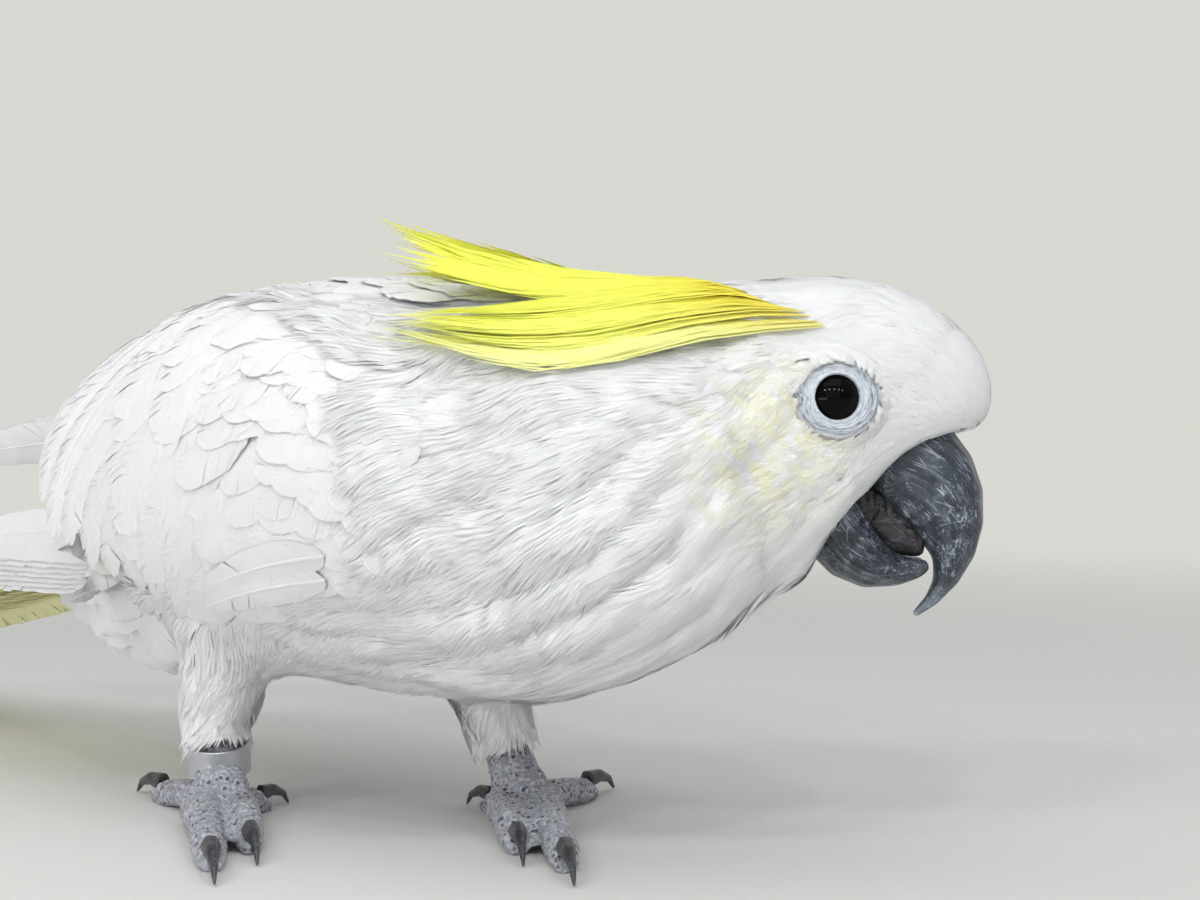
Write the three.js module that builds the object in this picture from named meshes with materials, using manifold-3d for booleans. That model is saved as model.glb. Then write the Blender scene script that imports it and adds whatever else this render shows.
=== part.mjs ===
// A life-size still model of a sulphur-crested cockatoo (Cacatua galerita), standing with its feet
// apart, the trunk turned to its right and the head held low and level in profile.
// Millimetres, +Z up, +X the way the head points, +Y to the bird's left. The soles stand on z = 0.
//
// The trunk and neck are one loft along a bent spine, the head is a loft along X, and wings, tail
// and crest are made of overlapping feather blades. Neighbours are then parted by thin cuts.
import * as THREE from "three";
import { LoftGeometry } from "three/addons/geometries/LoftGeometry.js";
import { mergeVertices } from "three/addons/utils/BufferGeometryUtils.js";
import Module from "manifold-3d";

const wasm = await Module();
wasm.setup();

// ---------------------------------------------------------------- driving dimensions
const CUT = 0.5; // width of a cut between two neighbours
const GAP = 0.35; // clearance left round a piece that is set into another
const WIDE_GAP = 0.7; // the same round wings and shanks

const HEAD_Y = -35; // the plane that halves the head
const TRUNK = { x: -57, y: 5, z: 87.5, yaw: 40, roll: 10 }; // the trunk's middle and how it is turned
const EYE = { x: 52.3, z: 107.2, radius: 7, opening: 4.85, turn: 8, tilt: 4 };
const EYE_RING = { length: 9.2, height: 8.7 };
const TARSUS_RADIUS = 5.7;
const QUILL = 1.4; // thickness of a blade of the wing
const TAIL_QUILL = 1.3; // the same in the tail and the crest
const BAND = { inner: 6.9, outer: 7.8, height: 5, along: 0.56, tilt: 12 };

// How finely each kind of piece is faceted: points round a section, and lengths along it.
const BODY_FACETS = [20, 14];
const HEAD_FACETS = [16, 11];
const EYE_FACETS = [8, 6];
const EYE_RING_FACETS = [10, 3];
const UPPER_BILL_FACETS = [10, 8];
const LOWER_BILL_FACETS = [10, 6];
const TONGUE_FACETS = [8, 6];
const TROUGH_FACETS = [12, 5];
const THIGH_FACETS = [12, 5];
const SHANK_FACETS = [10, 6];
const TOE_FACETS = [7, 5];
const CLAW_FACETS = [6, 3];
const BAND_FACETS = 16;
const SHIELD_LENGTHS = 6;

const UP = new THREE.Vector3(0, 0, 1);
const rad = THREE.MathUtils.degToRad;
const point = (x, y, z) => new THREE.Vector3(x, y, z);

// ---------------------------------------------------------------- shaping tools
// Every field of a list of stations, at t from 0 to 1, on a smooth curve through them.
function along(stations, t) {
  const last = stations.length - 1;
  const place = THREE.MathUtils.clamp(t, 0, 1) * last;
  const span = Math.min(Math.floor(place), last - 1);
  const f = place - span;
  const at = (k) => stations[THREE.MathUtils.clamp(k, 0, last)];
  const found = {};
  for (const key of Object.keys(stations[0])) {
    const [a, b, c, d] = [-1, 0, 1, 2].map((k) => at(span + k)[key]);
    const bend = 2 * a - 5 * b + 4 * c - d + f * (3 * (b - c) + d - a);
    found[key] = b + 0.5 * f * (c - a + f * bend);
  }
  return found;
}

const signedPower = (value, power) => Math.sign(value) * Math.abs(value) ** power;

// The direction that a ring of points turns round, by the right-hand rule.
function ringNormal(ring) {
  const normal = point(0, 0, 0);
  ring.forEach((p, i) => normal.add(p.clone().cross(ring[(i + 1) % ring.length])));
  return normal;
}

// A closed geometry through rings of points; ringPoint(t, angle) gives each. The facets asked for
// are points round a ring and lengths between rings.
function loft(ringPoint, [sides, steps]) {
  const sections = [];
  for (let i = 0; i <= steps; i++) {
    const ring = [];
    for (let j = 0; j < sides; j++) ring.push(ringPoint(i / steps, (j / sides) * 2 * Math.PI));
    sections.push(ring);
  }
  const middle = sections.map((ring) => ring.reduce((sum, p) => sum.add(p), point(0, 0, 0)));
  const ahead = middle[1].sub(middle[0]);
  if (ringNormal(sections[0]).dot(ahead) < 0) sections.forEach((ring) => ring.reverse());
  return new LoftGeometry(sections, { capStart: true, capEnd: true });
}

// A manifold-3d solid of a closed geometry.
function solidOf(geometry) {
  const bare = new THREE.BufferGeometry();
  bare.setAttribute("position", geometry.attributes.position.clone());
  bare.setIndex(geometry.index.clone());
  const merged = mergeVertices(bare, 1e-3);
  const corners = merged.index.array;
  const kept = [];
  for (let i = 0; i < corners.length; i += 3) {
    const [a, b, c] = corners.slice(i, i + 3);
    if (a !== b && b !== c && c !== a) kept.push(a, b, c);
  }
  return new wasm.Manifold(
    new wasm.Mesh({
      numProp: 3,
      vertProperties: merged.attributes.position.array,
      triVerts: new Uint32Array(kept),
    }),
  );
}

const union = (solids) => solids.reduce((whole, next) => whole.add(next));
const carve = (solid, tools) => tools.reduce((left, tool) => left.subtract(tool), solid);

// The largest body of a solid, without the crumbs that a cut may leave.
function mainBody(solid) {
  return solid.decompose().reduce((a, b) => (a.volume() > b.volume() ? a : b));
}

// A box whose middle is at `middle` and whose X axis lies along `axis`.
function slab(middle, axis, thickness, height, depth) {
  const box = new THREE.BoxGeometry(thickness, height, depth);
  const turn = new THREE.Quaternion().setFromUnitVectors(point(1, 0, 0), axis.clone().normalize());
  box.applyQuaternion(turn).translate(middle.x, middle.y, middle.z);
  return solidOf(box);
}

// A round or oval limb along a curve. Stations hold x, y, z, wide, high; `grow` thickens it.
function limb(stations, facets, grow = 0, wideAxis = null) {
  const centre = (t) => {
    const s = along(stations, t);
    return point(s.x, s.y, s.z);
  };
  return loft(
    (t, angle) => {
      const s = along(stations, t);
      const forward = centre(t + 0.02).sub(centre(t - 0.02)).normalize();
      const across = wideAxis ? wideAxis.clone() : new THREE.Vector3().crossVectors(UP, forward);
      across.addScaledVector(forward, -across.dot(forward)).normalize();
      const lift = new THREE.Vector3().crossVectors(forward, across);
      return point(s.x, s.y, s.z)
        .addScaledVector(across, Math.cos(angle) * (s.wide + grow))
        .addScaledVector(lift, Math.sin(angle) * (s.high + grow))
        .addScaledVector(forward, t === 0 ? -grow : t === 1 ? grow : 0);
    },
    facets,
  );
}

// ---------------------------------------------------------------- trunk and neck
// Directions of the trunk: the way its breast points, and the bird's left across it.
const FORWARD = point(Math.cos(rad(TRUNK.yaw)), -Math.sin(rad(TRUNK.yaw)), 0);
const LEFT = point(Math.sin(rad(TRUNK.yaw)), Math.cos(rad(TRUNK.yaw)), 0);

// A station on the trunk's straight length, `back` mm behind its middle.
function trunkStation(back, z, up, down, side) {
  const x = TRUNK.x - FORWARD.x * back;
  const y = TRUNK.y - FORWARD.y * back;
  return { x, y, z, up, down, side, yaw: TRUNK.yaw, roll: TRUNK.roll };
}

const SPINE = [
  trunkStation(118, 68, 6, 11, 13),
  trunkStation(98, 72, 18, 36, 26),
  trunkStation(70, 79, 36, 45, 37),
  trunkStation(35, 85, 49, 51, 43),
  trunkStation(0, 87.5, 50, 55, 45),
  trunkStation(-35, 87.5, 47, 54, 44),
  { x: -8, y: -36, z: 86.5, up: 45.5, down: 51.5, side: 41, yaw: 32, roll: 7 },
  { x: 13, y: -43, z: 89, up: 43.5, down: 45.5, side: 36, yaw: 14, roll: 3 },
  { x: 33, y: -40, z: 94.5, up: 38, down: 41, side: 30, yaw: 3, roll: 0 },
  { x: 52, y: -36, z: 101, up: 26, down: 20, side: 20, yaw: 0, roll: 0 },
];

// A point on the body's surface at spine place t; the angle runs from the back over its right side.
function bodyPoint(t, angle, grow = 0) {
  const s = along(SPINE, t);
  const across = point(-Math.sin(rad(s.yaw)), -Math.cos(rad(s.yaw)), 0);
  const upward = UP.clone().multiplyScalar(Math.cos(rad(s.roll)));
  upward.addScaledVector(across, Math.sin(rad(s.roll)));
  const right = across.clone().multiplyScalar(Math.cos(rad(s.roll)));
  right.addScaledVector(UP, -Math.sin(rad(s.roll)));
  const c = Math.cos(angle);
  const height = (c > 0 ? s.up : s.down) + grow;
  return point(s.x, s.y, s.z)
    .addScaledVector(upward, signedPower(c, 0.94) * height)
    .addScaledVector(right, signedPower(Math.sin(angle), 0.94) * (s.side + grow));
}

// ---------------------------------------------------------------- head
// Upright sections across the head: top and bottom of its outline, half width, and the height
// at which it is widest, as a share of the way up.
const HEAD = [
  { x: 16, top: 130.5, bottom: 51, half: 30, wide: 0.5 },
  { x: 30, top: 133.5, bottom: 53, half: 27.5, wide: 0.52 },
  { x: 44, top: 134.6, bottom: 61, half: 25.5, wide: 0.55 },
  { x: 53, top: 135, bottom: 72.5, half: 24.6, wide: 0.54 },
  { x: 61, top: 134.4, bottom: 83.6, half: 23, wide: 0.5 },
  { x: 70, top: 131.9, bottom: 91.2, half: 20, wide: 0.46 },
  { x: 78, top: 128, bottom: 95, half: 16.8, wide: 0.45 },
  { x: 85, top: 122.4, bottom: 97.6, half: 12.6, wide: 0.45 },
  { x: 89.4, top: 116, bottom: 100.2, half: 8, wide: 0.45 },
  { x: 91.2, top: 110.2, bottom: 104, half: 3, wide: 0.45 },
];

function headPoint(t, angle, grow = 0) {
  const s = along(HEAD, t);
  const middle = s.bottom + (s.top - s.bottom) * s.wide;
  const c = Math.cos(angle);
  const reach = (c > 0 ? s.top - middle : middle - s.bottom) + grow;
  const width = signedPower(Math.sin(angle), 0.92) * (s.half + grow);
  const x = s.x + (t === 1 ? grow : 0);
  return point(x, HEAD_Y - width, middle + signedPower(c, 0.92) * reach);
}

// ---------------------------------------------------------------- bill and tongue
// Sections of a horny sheath in the head's plane: outer edge, inner edge and half width.
function sheath(stations, facets, grow = 0) {
  return loft(
    (t, angle) => {
      const s = along(stations, t);
      const outer = point(s.ox, HEAD_Y, s.oz);
      const inner = point(s.ix, HEAD_Y, s.iz);
      const middle = outer.clone().add(inner).multiplyScalar(0.5);
      const reach = outer.distanceTo(inner) / 2 + grow;
      const toOuter = outer.sub(inner).normalize();
      const c = Math.cos(angle);
      const body = signedPower(c, c > 0 ? 1.05 : 0.8);
      return middle
        .addScaledVector(toOuter, body * reach)
        .add(point(0, -signedPower(Math.sin(angle), 0.85) * (s.half + grow), 0));
    },
    facets,
  );
}

const UPPER_BILL = [
  { ox: 75, oz: 106, ix: 57, iz: 93, half: 8.6 },
  { ox: 82.6, oz: 99.2, ix: 62.4, iz: 88, half: 9.8 },
  { ox: 87.6, oz: 91.4, ix: 65.2, iz: 83, half: 10 },
  { ox: 89.5, oz: 82.6, ix: 70.6, iz: 77.4, half: 9 },
  { ox: 88.4, oz: 73.6, ix: 76.4, iz: 71.8, half: 6.6 },
  { ox: 84.6, oz: 65.8, ix: 77.6, iz: 66, half: 4.3 },
  { ox: 79, oz: 59.6, ix: 76.2, iz: 61.4, half: 2.4 },
  { ox: 73, oz: 55.9, ix: 72.6, iz: 56.9, half: 0.8 },
];

const LOWER_BILL = [
  { ox: 44, oz: 76, ix: 54, iz: 90, half: 8 },
  { ox: 48, oz: 71.4, ix: 60.5, iz: 85, half: 10.6 },
  { ox: 53.6, oz: 65.8, ix: 62.6, iz: 79.6, half: 11.2 },
  { ox: 61, oz: 62.8, ix: 65.4, iz: 74.4, half: 10.8 },
  { ox: 68.4, oz: 63.2, ix: 69.6, iz: 71, half: 9.2 },
  { ox: 73.6, oz: 65, ix: 73.2, iz: 70, half: 7.4 },
  { ox: 76, oz: 67, ix: 75.6, iz: 69.8, half: 5.4 },
];

const TONGUE = [
  { x: 58, y: HEAD_Y, z: 81, wide: 3.8, high: 3.2 },
  { x: 64.6, y: HEAD_Y, z: 78, wide: 4.4, high: 3.7 },
  { x: 69.4, y: HEAD_Y, z: 74.6, wide: 4.6, high: 3.4 },
  { x: 73.6, y: HEAD_Y, z: 71.9, wide: 3.6, high: 2.2 },
  { x: 75, y: HEAD_Y, z: 71.2, wide: 1.8, high: 0.8 },
];

// The trough of the lower bill, which holds the tongue.
const TROUGH = [
  { x: 52, y: HEAD_Y, z: 90, wide: 6.4, high: 6 },
  { x: 62, y: HEAD_Y, z: 82, wide: 7.6, high: 6.4 },
  { x: 68.6, y: HEAD_Y, z: 76.2, wide: 7.2, high: 6 },
  { x: 75.4, y: HEAD_Y, z: 72.4, wide: 5.2, high: 3.6 },
  { x: 81, y: HEAD_Y, z: 71.4, wide: 4, high: 3.4 },
];

// ---------------------------------------------------------------- eyes
// side is 1 on the bird's right and -1 on its left.
function eyeFrame(side) {
  const outward = point(Math.sin(rad(EYE.turn)), -side * Math.cos(rad(EYE.turn)), 0);
  outward.z = Math.sin(rad(EYE.tilt));
  outward.normalize();
  const ahead = point(1, 0, 0).addScaledVector(outward, -outward.x).normalize();
  return { outward, ahead, upward: new THREE.Vector3().crossVectors(ahead, outward) };
}

const LID_Y = 24.2; // how far the plane of the lids is from the head's middle

function eyeCentre(side) {
  const depth = Math.sqrt(EYE.radius ** 2 - EYE.opening ** 2);
  const lids = point(EYE.x, HEAD_Y - side * LID_Y, EYE.z);
  return lids.addScaledVector(eyeFrame(side).outward, -depth);
}

function eyeball(side, grow = 0) {
  const c = eyeCentre(side);
  return new THREE.SphereGeometry(EYE.radius + grow, ...EYE_FACETS).translate(c.x, c.y, c.z);
}

// A round plug of bare skin whose face domes up to the lids. With `well` it is the room for one,
// open to the outside.
function eyeRing(side, grow = 0, well = 0) {
  const { outward, ahead, upward } = eyeFrame(side);
  const c = eyeCentre(side);
  const depth = Math.sqrt(EYE.radius ** 2 - EYE.opening ** 2);
  const profile = [
    { reach: 0.75, out: depth - 3.8 },
    { reach: 1, out: depth - 2.2 },
    { reach: 1, out: depth - 0.7 + well },
    { reach: well ? 1 : 0.6, out: depth + 0.5 + 2 * well },
  ];
  return loft(
    (t, angle) => {
      const s = along(profile, t);
      return c
        .clone()
        .addScaledVector(outward, s.out + (t === 0 ? -grow : t === 1 ? grow : 0))
        .addScaledVector(ahead, Math.cos(angle) * (EYE_RING.length * s.reach + grow))
        .addScaledVector(upward, Math.sin(angle) * (EYE_RING.height * s.reach + grow));
    },
    EYE_RING_FACETS,
  );
}

// ---------------------------------------------------------------- feather blades
const TIP_CROWDING = 1.7; // how much closer its sections stand towards the round tip

// A flat blade along a curve, round at its tip: `path` gives the middle line, `across` its width
// direction, `half` its greatest half width. `grow` makes the room for one.
function blade(path, across, half, thickness, steps, grow = 0) {
  const curve = new THREE.CatmullRomCurve3(path);
  return loft(
    (part, angle) => {
      const t = 1 - (1 - part) ** TIP_CROWDING;
      const forward = curve.getTangent(t);
      const wide = across.clone().addScaledVector(forward, -across.dot(forward)).normalize();
      const face = new THREE.Vector3().crossVectors(forward, wide);
      const shape = Math.min(1, 0.6 + 1.2 * t) * Math.sqrt(Math.max(1 - t ** 5, 0.06));
      return curve
        .getPoint(t)
        .addScaledVector(wide, Math.sign(Math.cos(angle + Math.PI / 4)) * (half * shape + grow))
        .addScaledVector(face, Math.sign(Math.sin(angle + Math.PI / 4)) * (thickness / 2 + grow))
        .addScaledVector(forward, t === 0 ? -grow : t === 1 ? grow : 0);
    },
    [4, steps],
  );
}

// ---------------------------------------------------------------- wings
// A place beside the trunk: `back` is mm behind its middle, `out` to the bird's right, z is up
// before the trunk's roll, which leans it towards its right side.
function besideTrunk(back, out, z) {
  const roll = rad(TRUNK.roll);
  const rise = z - TRUNK.z;
  const sideways = out * Math.cos(roll) + rise * Math.sin(roll);
  return point(TRUNK.x, TRUNK.y, TRUNK.z + rise * Math.cos(roll) - out * Math.sin(roll))
    .addScaledVector(FORWARD, -back)
    .addScaledVector(LEFT, -sideways);
}

// The covert shield of each wing, from the bend of the wing to its rear edge. It follows the
// trunk's surface at a spine place, from `from` to `to` degrees off the back, `off` mm above it.
// The right wing hangs low on its flank; `rise` lifts the left one, which is carried high.
const SHIELDS = {
  right: [
    { place: 0.62, from: 64, to: 98, off: 1, thick: 1.6, rise: 0 },
    { place: 0.585, from: 44, to: 110, off: 1.5, thick: 3.4, rise: 0 },
    { place: 0.51, from: 27, to: 114, off: 1.7, thick: 4.4, rise: 0 },
    { place: 0.42, from: 15, to: 114, off: 1.9, thick: 4.8, rise: 0 },
    { place: 0.325, from: 10, to: 112, off: 2.8, thick: 4.6, rise: 0 },
    { place: 0.245, from: 8, to: 104, off: 5.6, thick: 3.8, rise: 0 },
    { place: 0.175, from: 8, to: 92, off: 11, thick: 2.8, rise: 0 },
  ],
  left: [
    { place: 0.62, from: 64, to: 98, off: 1, thick: 1.6, rise: 0 },
    { place: 0.585, from: 54, to: 110, off: 1.5, thick: 3.4, rise: 0 },
    { place: 0.51, from: 44, to: 111, off: 1.7, thick: 4.4, rise: 0.5 },
    { place: 0.42, from: 38, to: 109, off: 1.9, thick: 4.8, rise: 2 },
    { place: 0.325, from: 36, to: 104, off: 2.8, thick: 4.6, rise: 6 },
    { place: 0.245, from: 37, to: 98, off: 5.6, thick: 3.8, rise: 15 },
    { place: 0.175, from: 38, to: 92, off: 9, thick: 2.8, rise: 23 },
  ],
};
const sideOf = (name) => (name === "right" ? 1 : -1);

// A place on a wing's own curved surface; `off` is its height above it.
function onWing(name, share, turn, off) {
  const s = along(SHIELDS[name], share);
  return bodyPoint(s.place, sideOf(name) * rad(turn), s.off + off).addScaledVector(UP, s.rise);
}

// A closed crescent round the flank: the outer arc one way, the inner arc back.
const ARC_POINTS = 7;
const SHIELD_DEPTH = 1.8; // how far it would reach into the flank before it is trimmed to it

function shield(name, grow = 0) {
  return loft(
    (t, angle) => {
      const s = along(SHIELDS[name], t);
      const place = Math.round((angle / Math.PI) * ARC_POINTS);
      const outer = place < ARC_POINTS;
      const share = (outer ? place : 2 * ARC_POINTS - 1 - place) / (ARC_POINTS - 1);
      const edge = Math.sin(Math.PI * share) ** 0.6;
      const turn = s.from + (s.to - s.from) * share + (share - 0.5) * 3 * grow;
      const off = outer ? s.thick * (0.2 + 0.8 * edge) + grow : -SHIELD_DEPTH - grow;
      const beyond = t === 0 ? grow : t === 1 ? -grow : 0;
      return onWing(name, t, turn, off).addScaledVector(FORWARD, beyond);
    },
    [2 * ARC_POINTS, SHIELD_LENGTHS],
  );
}

// The secondaries and tertials fan out from under the shield.
const SECONDARIES = { right: { from: 14, to: 96 }, left: { from: 46, to: 90 } };
const SECONDARY_COUNT = 5;
const SECONDARY_HALF = { right: 12.5, left: 9.5 }; // greatest half width
const SECONDARY_STEPS = 3;

function secondary(name, k, grow = 0) {
  const share = k / (SECONDARY_COUNT - 1);
  const { from, to } = SECONDARIES[name];
  const turn = from + (to - from) * share;
  const right = name === "right";
  const reach = right ? 1.5 + 3 * Math.sin(Math.PI * (0.2 + 0.6 * share)) : 34 - 10 * share;
  const drop = right ? 4 : 6 - 10 * share;
  const tip = onWing(name, 1, turn, -3).addScaledVector(FORWARD, -reach).addScaledVector(UP, -drop);
  const path = [onWing(name, 0.7, turn, 1), onWing(name, 0.86, turn, 1.2)];
  path.push(onWing(name, 1, turn, 0.6), tip);
  const across = LEFT.clone().multiplyScalar(-sideOf(name) * Math.cos(rad(turn)));
  across.addScaledVector(UP, -Math.sin(rad(turn)));
  return blade(path, across, SECONDARY_HALF[name], QUILL, SECONDARY_STEPS, grow);
}

// The folded primaries: the right ones low beside the tail, the left ones high over the rump.
const PRIMARY_COUNT = 3;
const PRIMARY_HALF = 8;
const PRIMARY_STEPS = 4;

function primary(name, k, grow = 0) {
  const s = k / (PRIMARY_COUNT - 1);
  const paths = {
    right: [
      besideTrunk(30, 43, 68 + 4 * s),
      besideTrunk(75, 36 - 2 * s, 67 + 5 * s),
      besideTrunk(125, 24 - 2 * s, 64 + 7 * s),
      besideTrunk(196 + 32 * s, 12 - 3 * s, 50 + 6 * s),
    ],
    left: [
      besideTrunk(30, -43, 76 + 8 * s),
      besideTrunk(75, -34 + 3 * s, 84 + 13 * s),
      besideTrunk(125, -17 + 5 * s, 90 + 17 * s),
      besideTrunk(184 + 28 * s, -8 + 3 * s, 91 + 8 * s),
    ],
  };
  const across = LEFT.clone().multiplyScalar(-sideOf(name) * 0.4).addScaledVector(UP, -0.9);
  return blade(paths[name], across, PRIMARY_HALF, QUILL, PRIMARY_STEPS, grow);
}

// ---------------------------------------------------------------- tail
// Six blades side by side, the middle ones longest. The fan is twisted so that its right edge
// is the higher one and shows its underside.
const TAIL = { count: 6, start: 94, z: 72, fan: 11, twist: -11, halfWidth: 11.5, steps: 3 };

function rectrix(k) {
  const share = (k + 0.5) / TAIL.count - 0.5; // from -0.5 on the left to 0.5 on the right
  const spread = rad(TAIL.fan * share);
  const length = 190 - 40 * Math.abs(share) ** 1.4;
  const place = (run, drop) => {
    const out = share * 38 + Math.sin(spread) * run;
    const twist = rad(TAIL.twist * Math.min(1, run / 60));
    const lean = out * Math.sin(rad(TRUNK.roll)) - out * Math.sin(twist);
    const roof = Math.abs(share) * 5;
    return besideTrunk(TAIL.start + run * Math.cos(spread), out, TAIL.z - drop - roof + lean);
  };
  const path = [place(0, 0), place(60, 14), place(120, 29), place(length, 44)];
  const across = LEFT.clone().addScaledVector(UP, -Math.tan(rad(-TAIL.twist)));
  return blade(path, across, TAIL.halfWidth, TAIL_QUILL, TAIL.steps);
}

// ---------------------------------------------------------------- crest
// Long narrow feathers rooted along both sides of the crown. They drape back over the nape and
// curl up at their tips, the middle one highest. Stations give the distance from the head's
// middle plane for the outermost pair.
const CREST_PAIRS = 2;
const CREST_HALF = 9.5; // greatest half width of a crest feather
const CREST_STEPS = 4;
const CREST = [
  { x: 34, outer: 15, off: 1.4 },
  { x: 14, outer: 26, off: 1.4 },
  { x: -7, outer: 33, off: 1.4 },
  { x: -27, outer: 27, off: 2 },
];
const CREST_TIP = { x: -48, outer: 10, rise: 16, low: 1.5 };

// The place on the neck or trunk right above or beside (x, y), `off` mm clear of its surface.
function overBody(x, y, off) {
  let place = 0.62;
  let angle = 0;
  for (let i = 0; i < 24; i++) {
    const p = bodyPoint(place, angle, off);
    place += ((x - p.x) / 190) * 0.8;
    angle += ((p.y - y) / 45) * 0.7;
  }
  return bodyPoint(place, angle, off);
}

// `row` runs from -CREST_PAIRS on the left over 0 in the middle to CREST_PAIRS on the right.
function crestFeather(row) {
  const share = row / CREST_PAIRS;
  const s = Math.abs(share);
  const y = (station) => HEAD_Y - station.outer * share;
  const root = headPoint(0.24 + 0.14 * s, rad(42 * share), 0.4);
  const tip = overBody(CREST_TIP.x + 3 * s, y(CREST_TIP), CREST_TIP.low);
  tip.z += CREST_TIP.rise * (1 - s) ** 1.4;
  const path = [root, ...CREST.map((station) => overBody(station.x, y(station), station.off)), tip];
  const turn = rad(50 * share);
  const across = point(0, Math.cos(turn), Math.sin(turn));
  return blade(path, across, CREST_HALF, TAIL_QUILL, CREST_STEPS);
}

// ---------------------------------------------------------------- legs and feet
// side 1 is the bird's right foot. Angles of the toes are taken from straight towards -Y,
// positive to the bird's outer side; toe 2 and 3 point forwards, toe 1 and 4 back.
const FEET = {
  right: {
    side: 1,
    pad: point(-95, 0, 5.8),
    ankle: point(-98, 13, 24),
    hip: point(-92, 15, 64),
    toes: [
      { name: 1, angle: 152, outer: -1, length: 19, claw: 10, radius: 4.1, joints: 2 },
      { name: 2, angle: 16, outer: -1, length: 33, claw: 13, radius: 4.8, joints: 3 },
      { name: 3, angle: 14, outer: -1, length: 50, claw: 15, radius: 5, joints: 4 },
      { name: 4, angle: 142, outer: 1, length: 36, claw: 14, radius: 4.7, joints: 4 },
    ],
  },
  left: {
    side: -1,
    pad: point(-19, 0, 5.8),
    ankle: point(-26, 12, 24),
    hip: point(-37, 6, 62),
    toes: [
      { name: 1, angle: 145, outer: -1, length: 19, claw: 10, radius: 4.1, joints: 2 },
      { name: 2, angle: 8, outer: 1, length: 33, claw: 13, radius: 4.8, joints: 3 },
      { name: 3, angle: 8, outer: 1, length: 50, claw: 15, radius: 5, joints: 4 },
      { name: 4, angle: 152, outer: 1, length: 36, claw: 14, radius: 4.7, joints: 4 },
    ],
  },
};

// The way a toe points on the floor.
function toeWay(foot, toe) {
  const turn = rad(toe.angle) * toe.outer * foot.side;
  return point(-Math.sin(turn), -Math.cos(turn), 0);
}

function toeRoot(foot, toe) {
  const across = toe.name === 3 ? 4.6 : toe.name === 2 ? -4.6 : 0;
  return foot.pad.clone().add(point(-across * foot.side, toe.name > 1 && toe.name < 4 ? -1 : 2, 0));
}

const TOE_SINK = 1.3; // how deep its pads are pressed into the floor, which flattens them

// A toe: thick at its root, with a pad under each joint, curving down to the floor.
function toeShape(foot, toe, grow = 0) {
  const way = toeWay(foot, toe);
  const root = toeRoot(foot, toe);
  return loft(
    (t, angle) => {
      const run = t * toe.length;
      const pads = 1 + 0.09 * Math.cos(2 * Math.PI * toe.joints * t);
      const size = toe.radius * (1.06 - 0.3 * t) * pads * (t > 0.97 ? 0.72 : 1) + grow;
      const arch = 1.4 * Math.sin(Math.PI * Math.min(1, t * 1.1));
      const rise = toe.radius * (0.98 - 0.28 * t) + arch - TOE_SINK;
      const spot = root.clone().addScaledVector(way, run + (t === 1 ? grow : 0));
      const across = new THREE.Vector3().crossVectors(UP, way);
      spot.z = rise + (1 - t) * 1.2;
      return spot
        .addScaledVector(across, Math.cos(angle) * size)
        .addScaledVector(UP, Math.sin(angle) * size * 0.94);
    },
    TOE_FACETS,
  );
}

function clawShape(foot, toe, grow = 0) {
  const way = toeWay(foot, toe);
  const start = toeRoot(foot, toe).addScaledVector(way, toe.length - 3.2);
  const size = toe.radius * 0.5;
  const stations = [0, 0.35, 0.7, 1].map((t) => ({
    x: start.x + way.x * (toe.claw + 3) * Math.sin(t * 1.25) * 0.98,
    y: start.y + way.y * (toe.claw + 3) * Math.sin(t * 1.25) * 0.98,
    z: toe.radius * 0.78 + 2.2 * Math.sin(Math.PI * (0.25 + 0.45 * t)) - 5.1 * t ** 2.2,
    wide: size * (1 - 0.85 * t),
    high: size * 1.15 * (1 - 0.82 * t),
  }));
  return limb(stations, CLAW_FACETS, grow);
}

// The bare shank with the pad that the toes spring from.
function shankShape(foot, grow = 0) {
  const { pad, ankle } = foot;
  const at = (p, wide, high) => ({ x: p.x, y: p.y, z: p.z, wide, high });
  const middle = pad.clone().lerp(ankle, 0.5);
  const top = ankle.clone().add(point(0, -1, 8));
  return limb(
    [
      at(pad.clone().add(point(0, -4, -0.6)), 6.4, 4.4),
      at(pad.clone().add(point(0, -0.5, 0.4)), 8.4, 6.4),
      at(pad.clone().lerp(ankle, 0.24), 7, 6.3),
      at(middle, TARSUS_RADIUS, TARSUS_RADIUS),
      at(ankle, TARSUS_RADIUS + 0.3, TARSUS_RADIUS + 0.2),
      at(top, TARSUS_RADIUS, TARSUS_RADIUS),
    ],
    SHANK_FACETS,
    grow,
    point(1, 0, 0),
  );
}

// The closed metal ring that hangs round the right shank.
function legBand(foot) {
  const { inner, outer, height } = BAND;
  const section = [
    [inner, -height / 2],
    [outer, -height / 2],
    [outer, height / 2],
    [inner, height / 2],
    [inner, -height / 2],
  ].map(([across, up]) => new THREE.Vector2(across, up));
  const band = new THREE.LatheGeometry(section, BAND_FACETS).rotateX(Math.PI / 2);
  const shank = foot.ankle.clone().sub(foot.pad).normalize();
  const axis = shank.applyAxisAngle(point(1, 0, 0), rad(BAND.tilt));
  const at = foot.pad.clone().lerp(foot.ankle, BAND.along);
  band.applyQuaternion(new THREE.Quaternion().setFromUnitVectors(UP, axis));
  return band.translate(at.x, at.y, at.z);
}

// The feathered thigh, from inside the flank to a soft cuff round the ankle.
function thighShape(foot) {
  const { ankle, hip } = foot;
  const at = (p, wide, high) => ({ x: p.x, y: p.y, z: p.z, wide, high });
  return limb(
    [
      at(ankle.clone().add(point(0, -1.5, -4.5)), 7.6, 7),
      at(ankle.clone().add(point(-0.5, -2, 2)), 9, 8.8),
      at(ankle.clone().lerp(hip, 0.35), 11.5, 12),
      at(ankle.clone().lerp(hip, 0.65), 17, 18),
      at(hip, 22, 24),
    ],
    THIGH_FACETS,
    0,
    point(1, 0, 0),
  );
}

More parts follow.
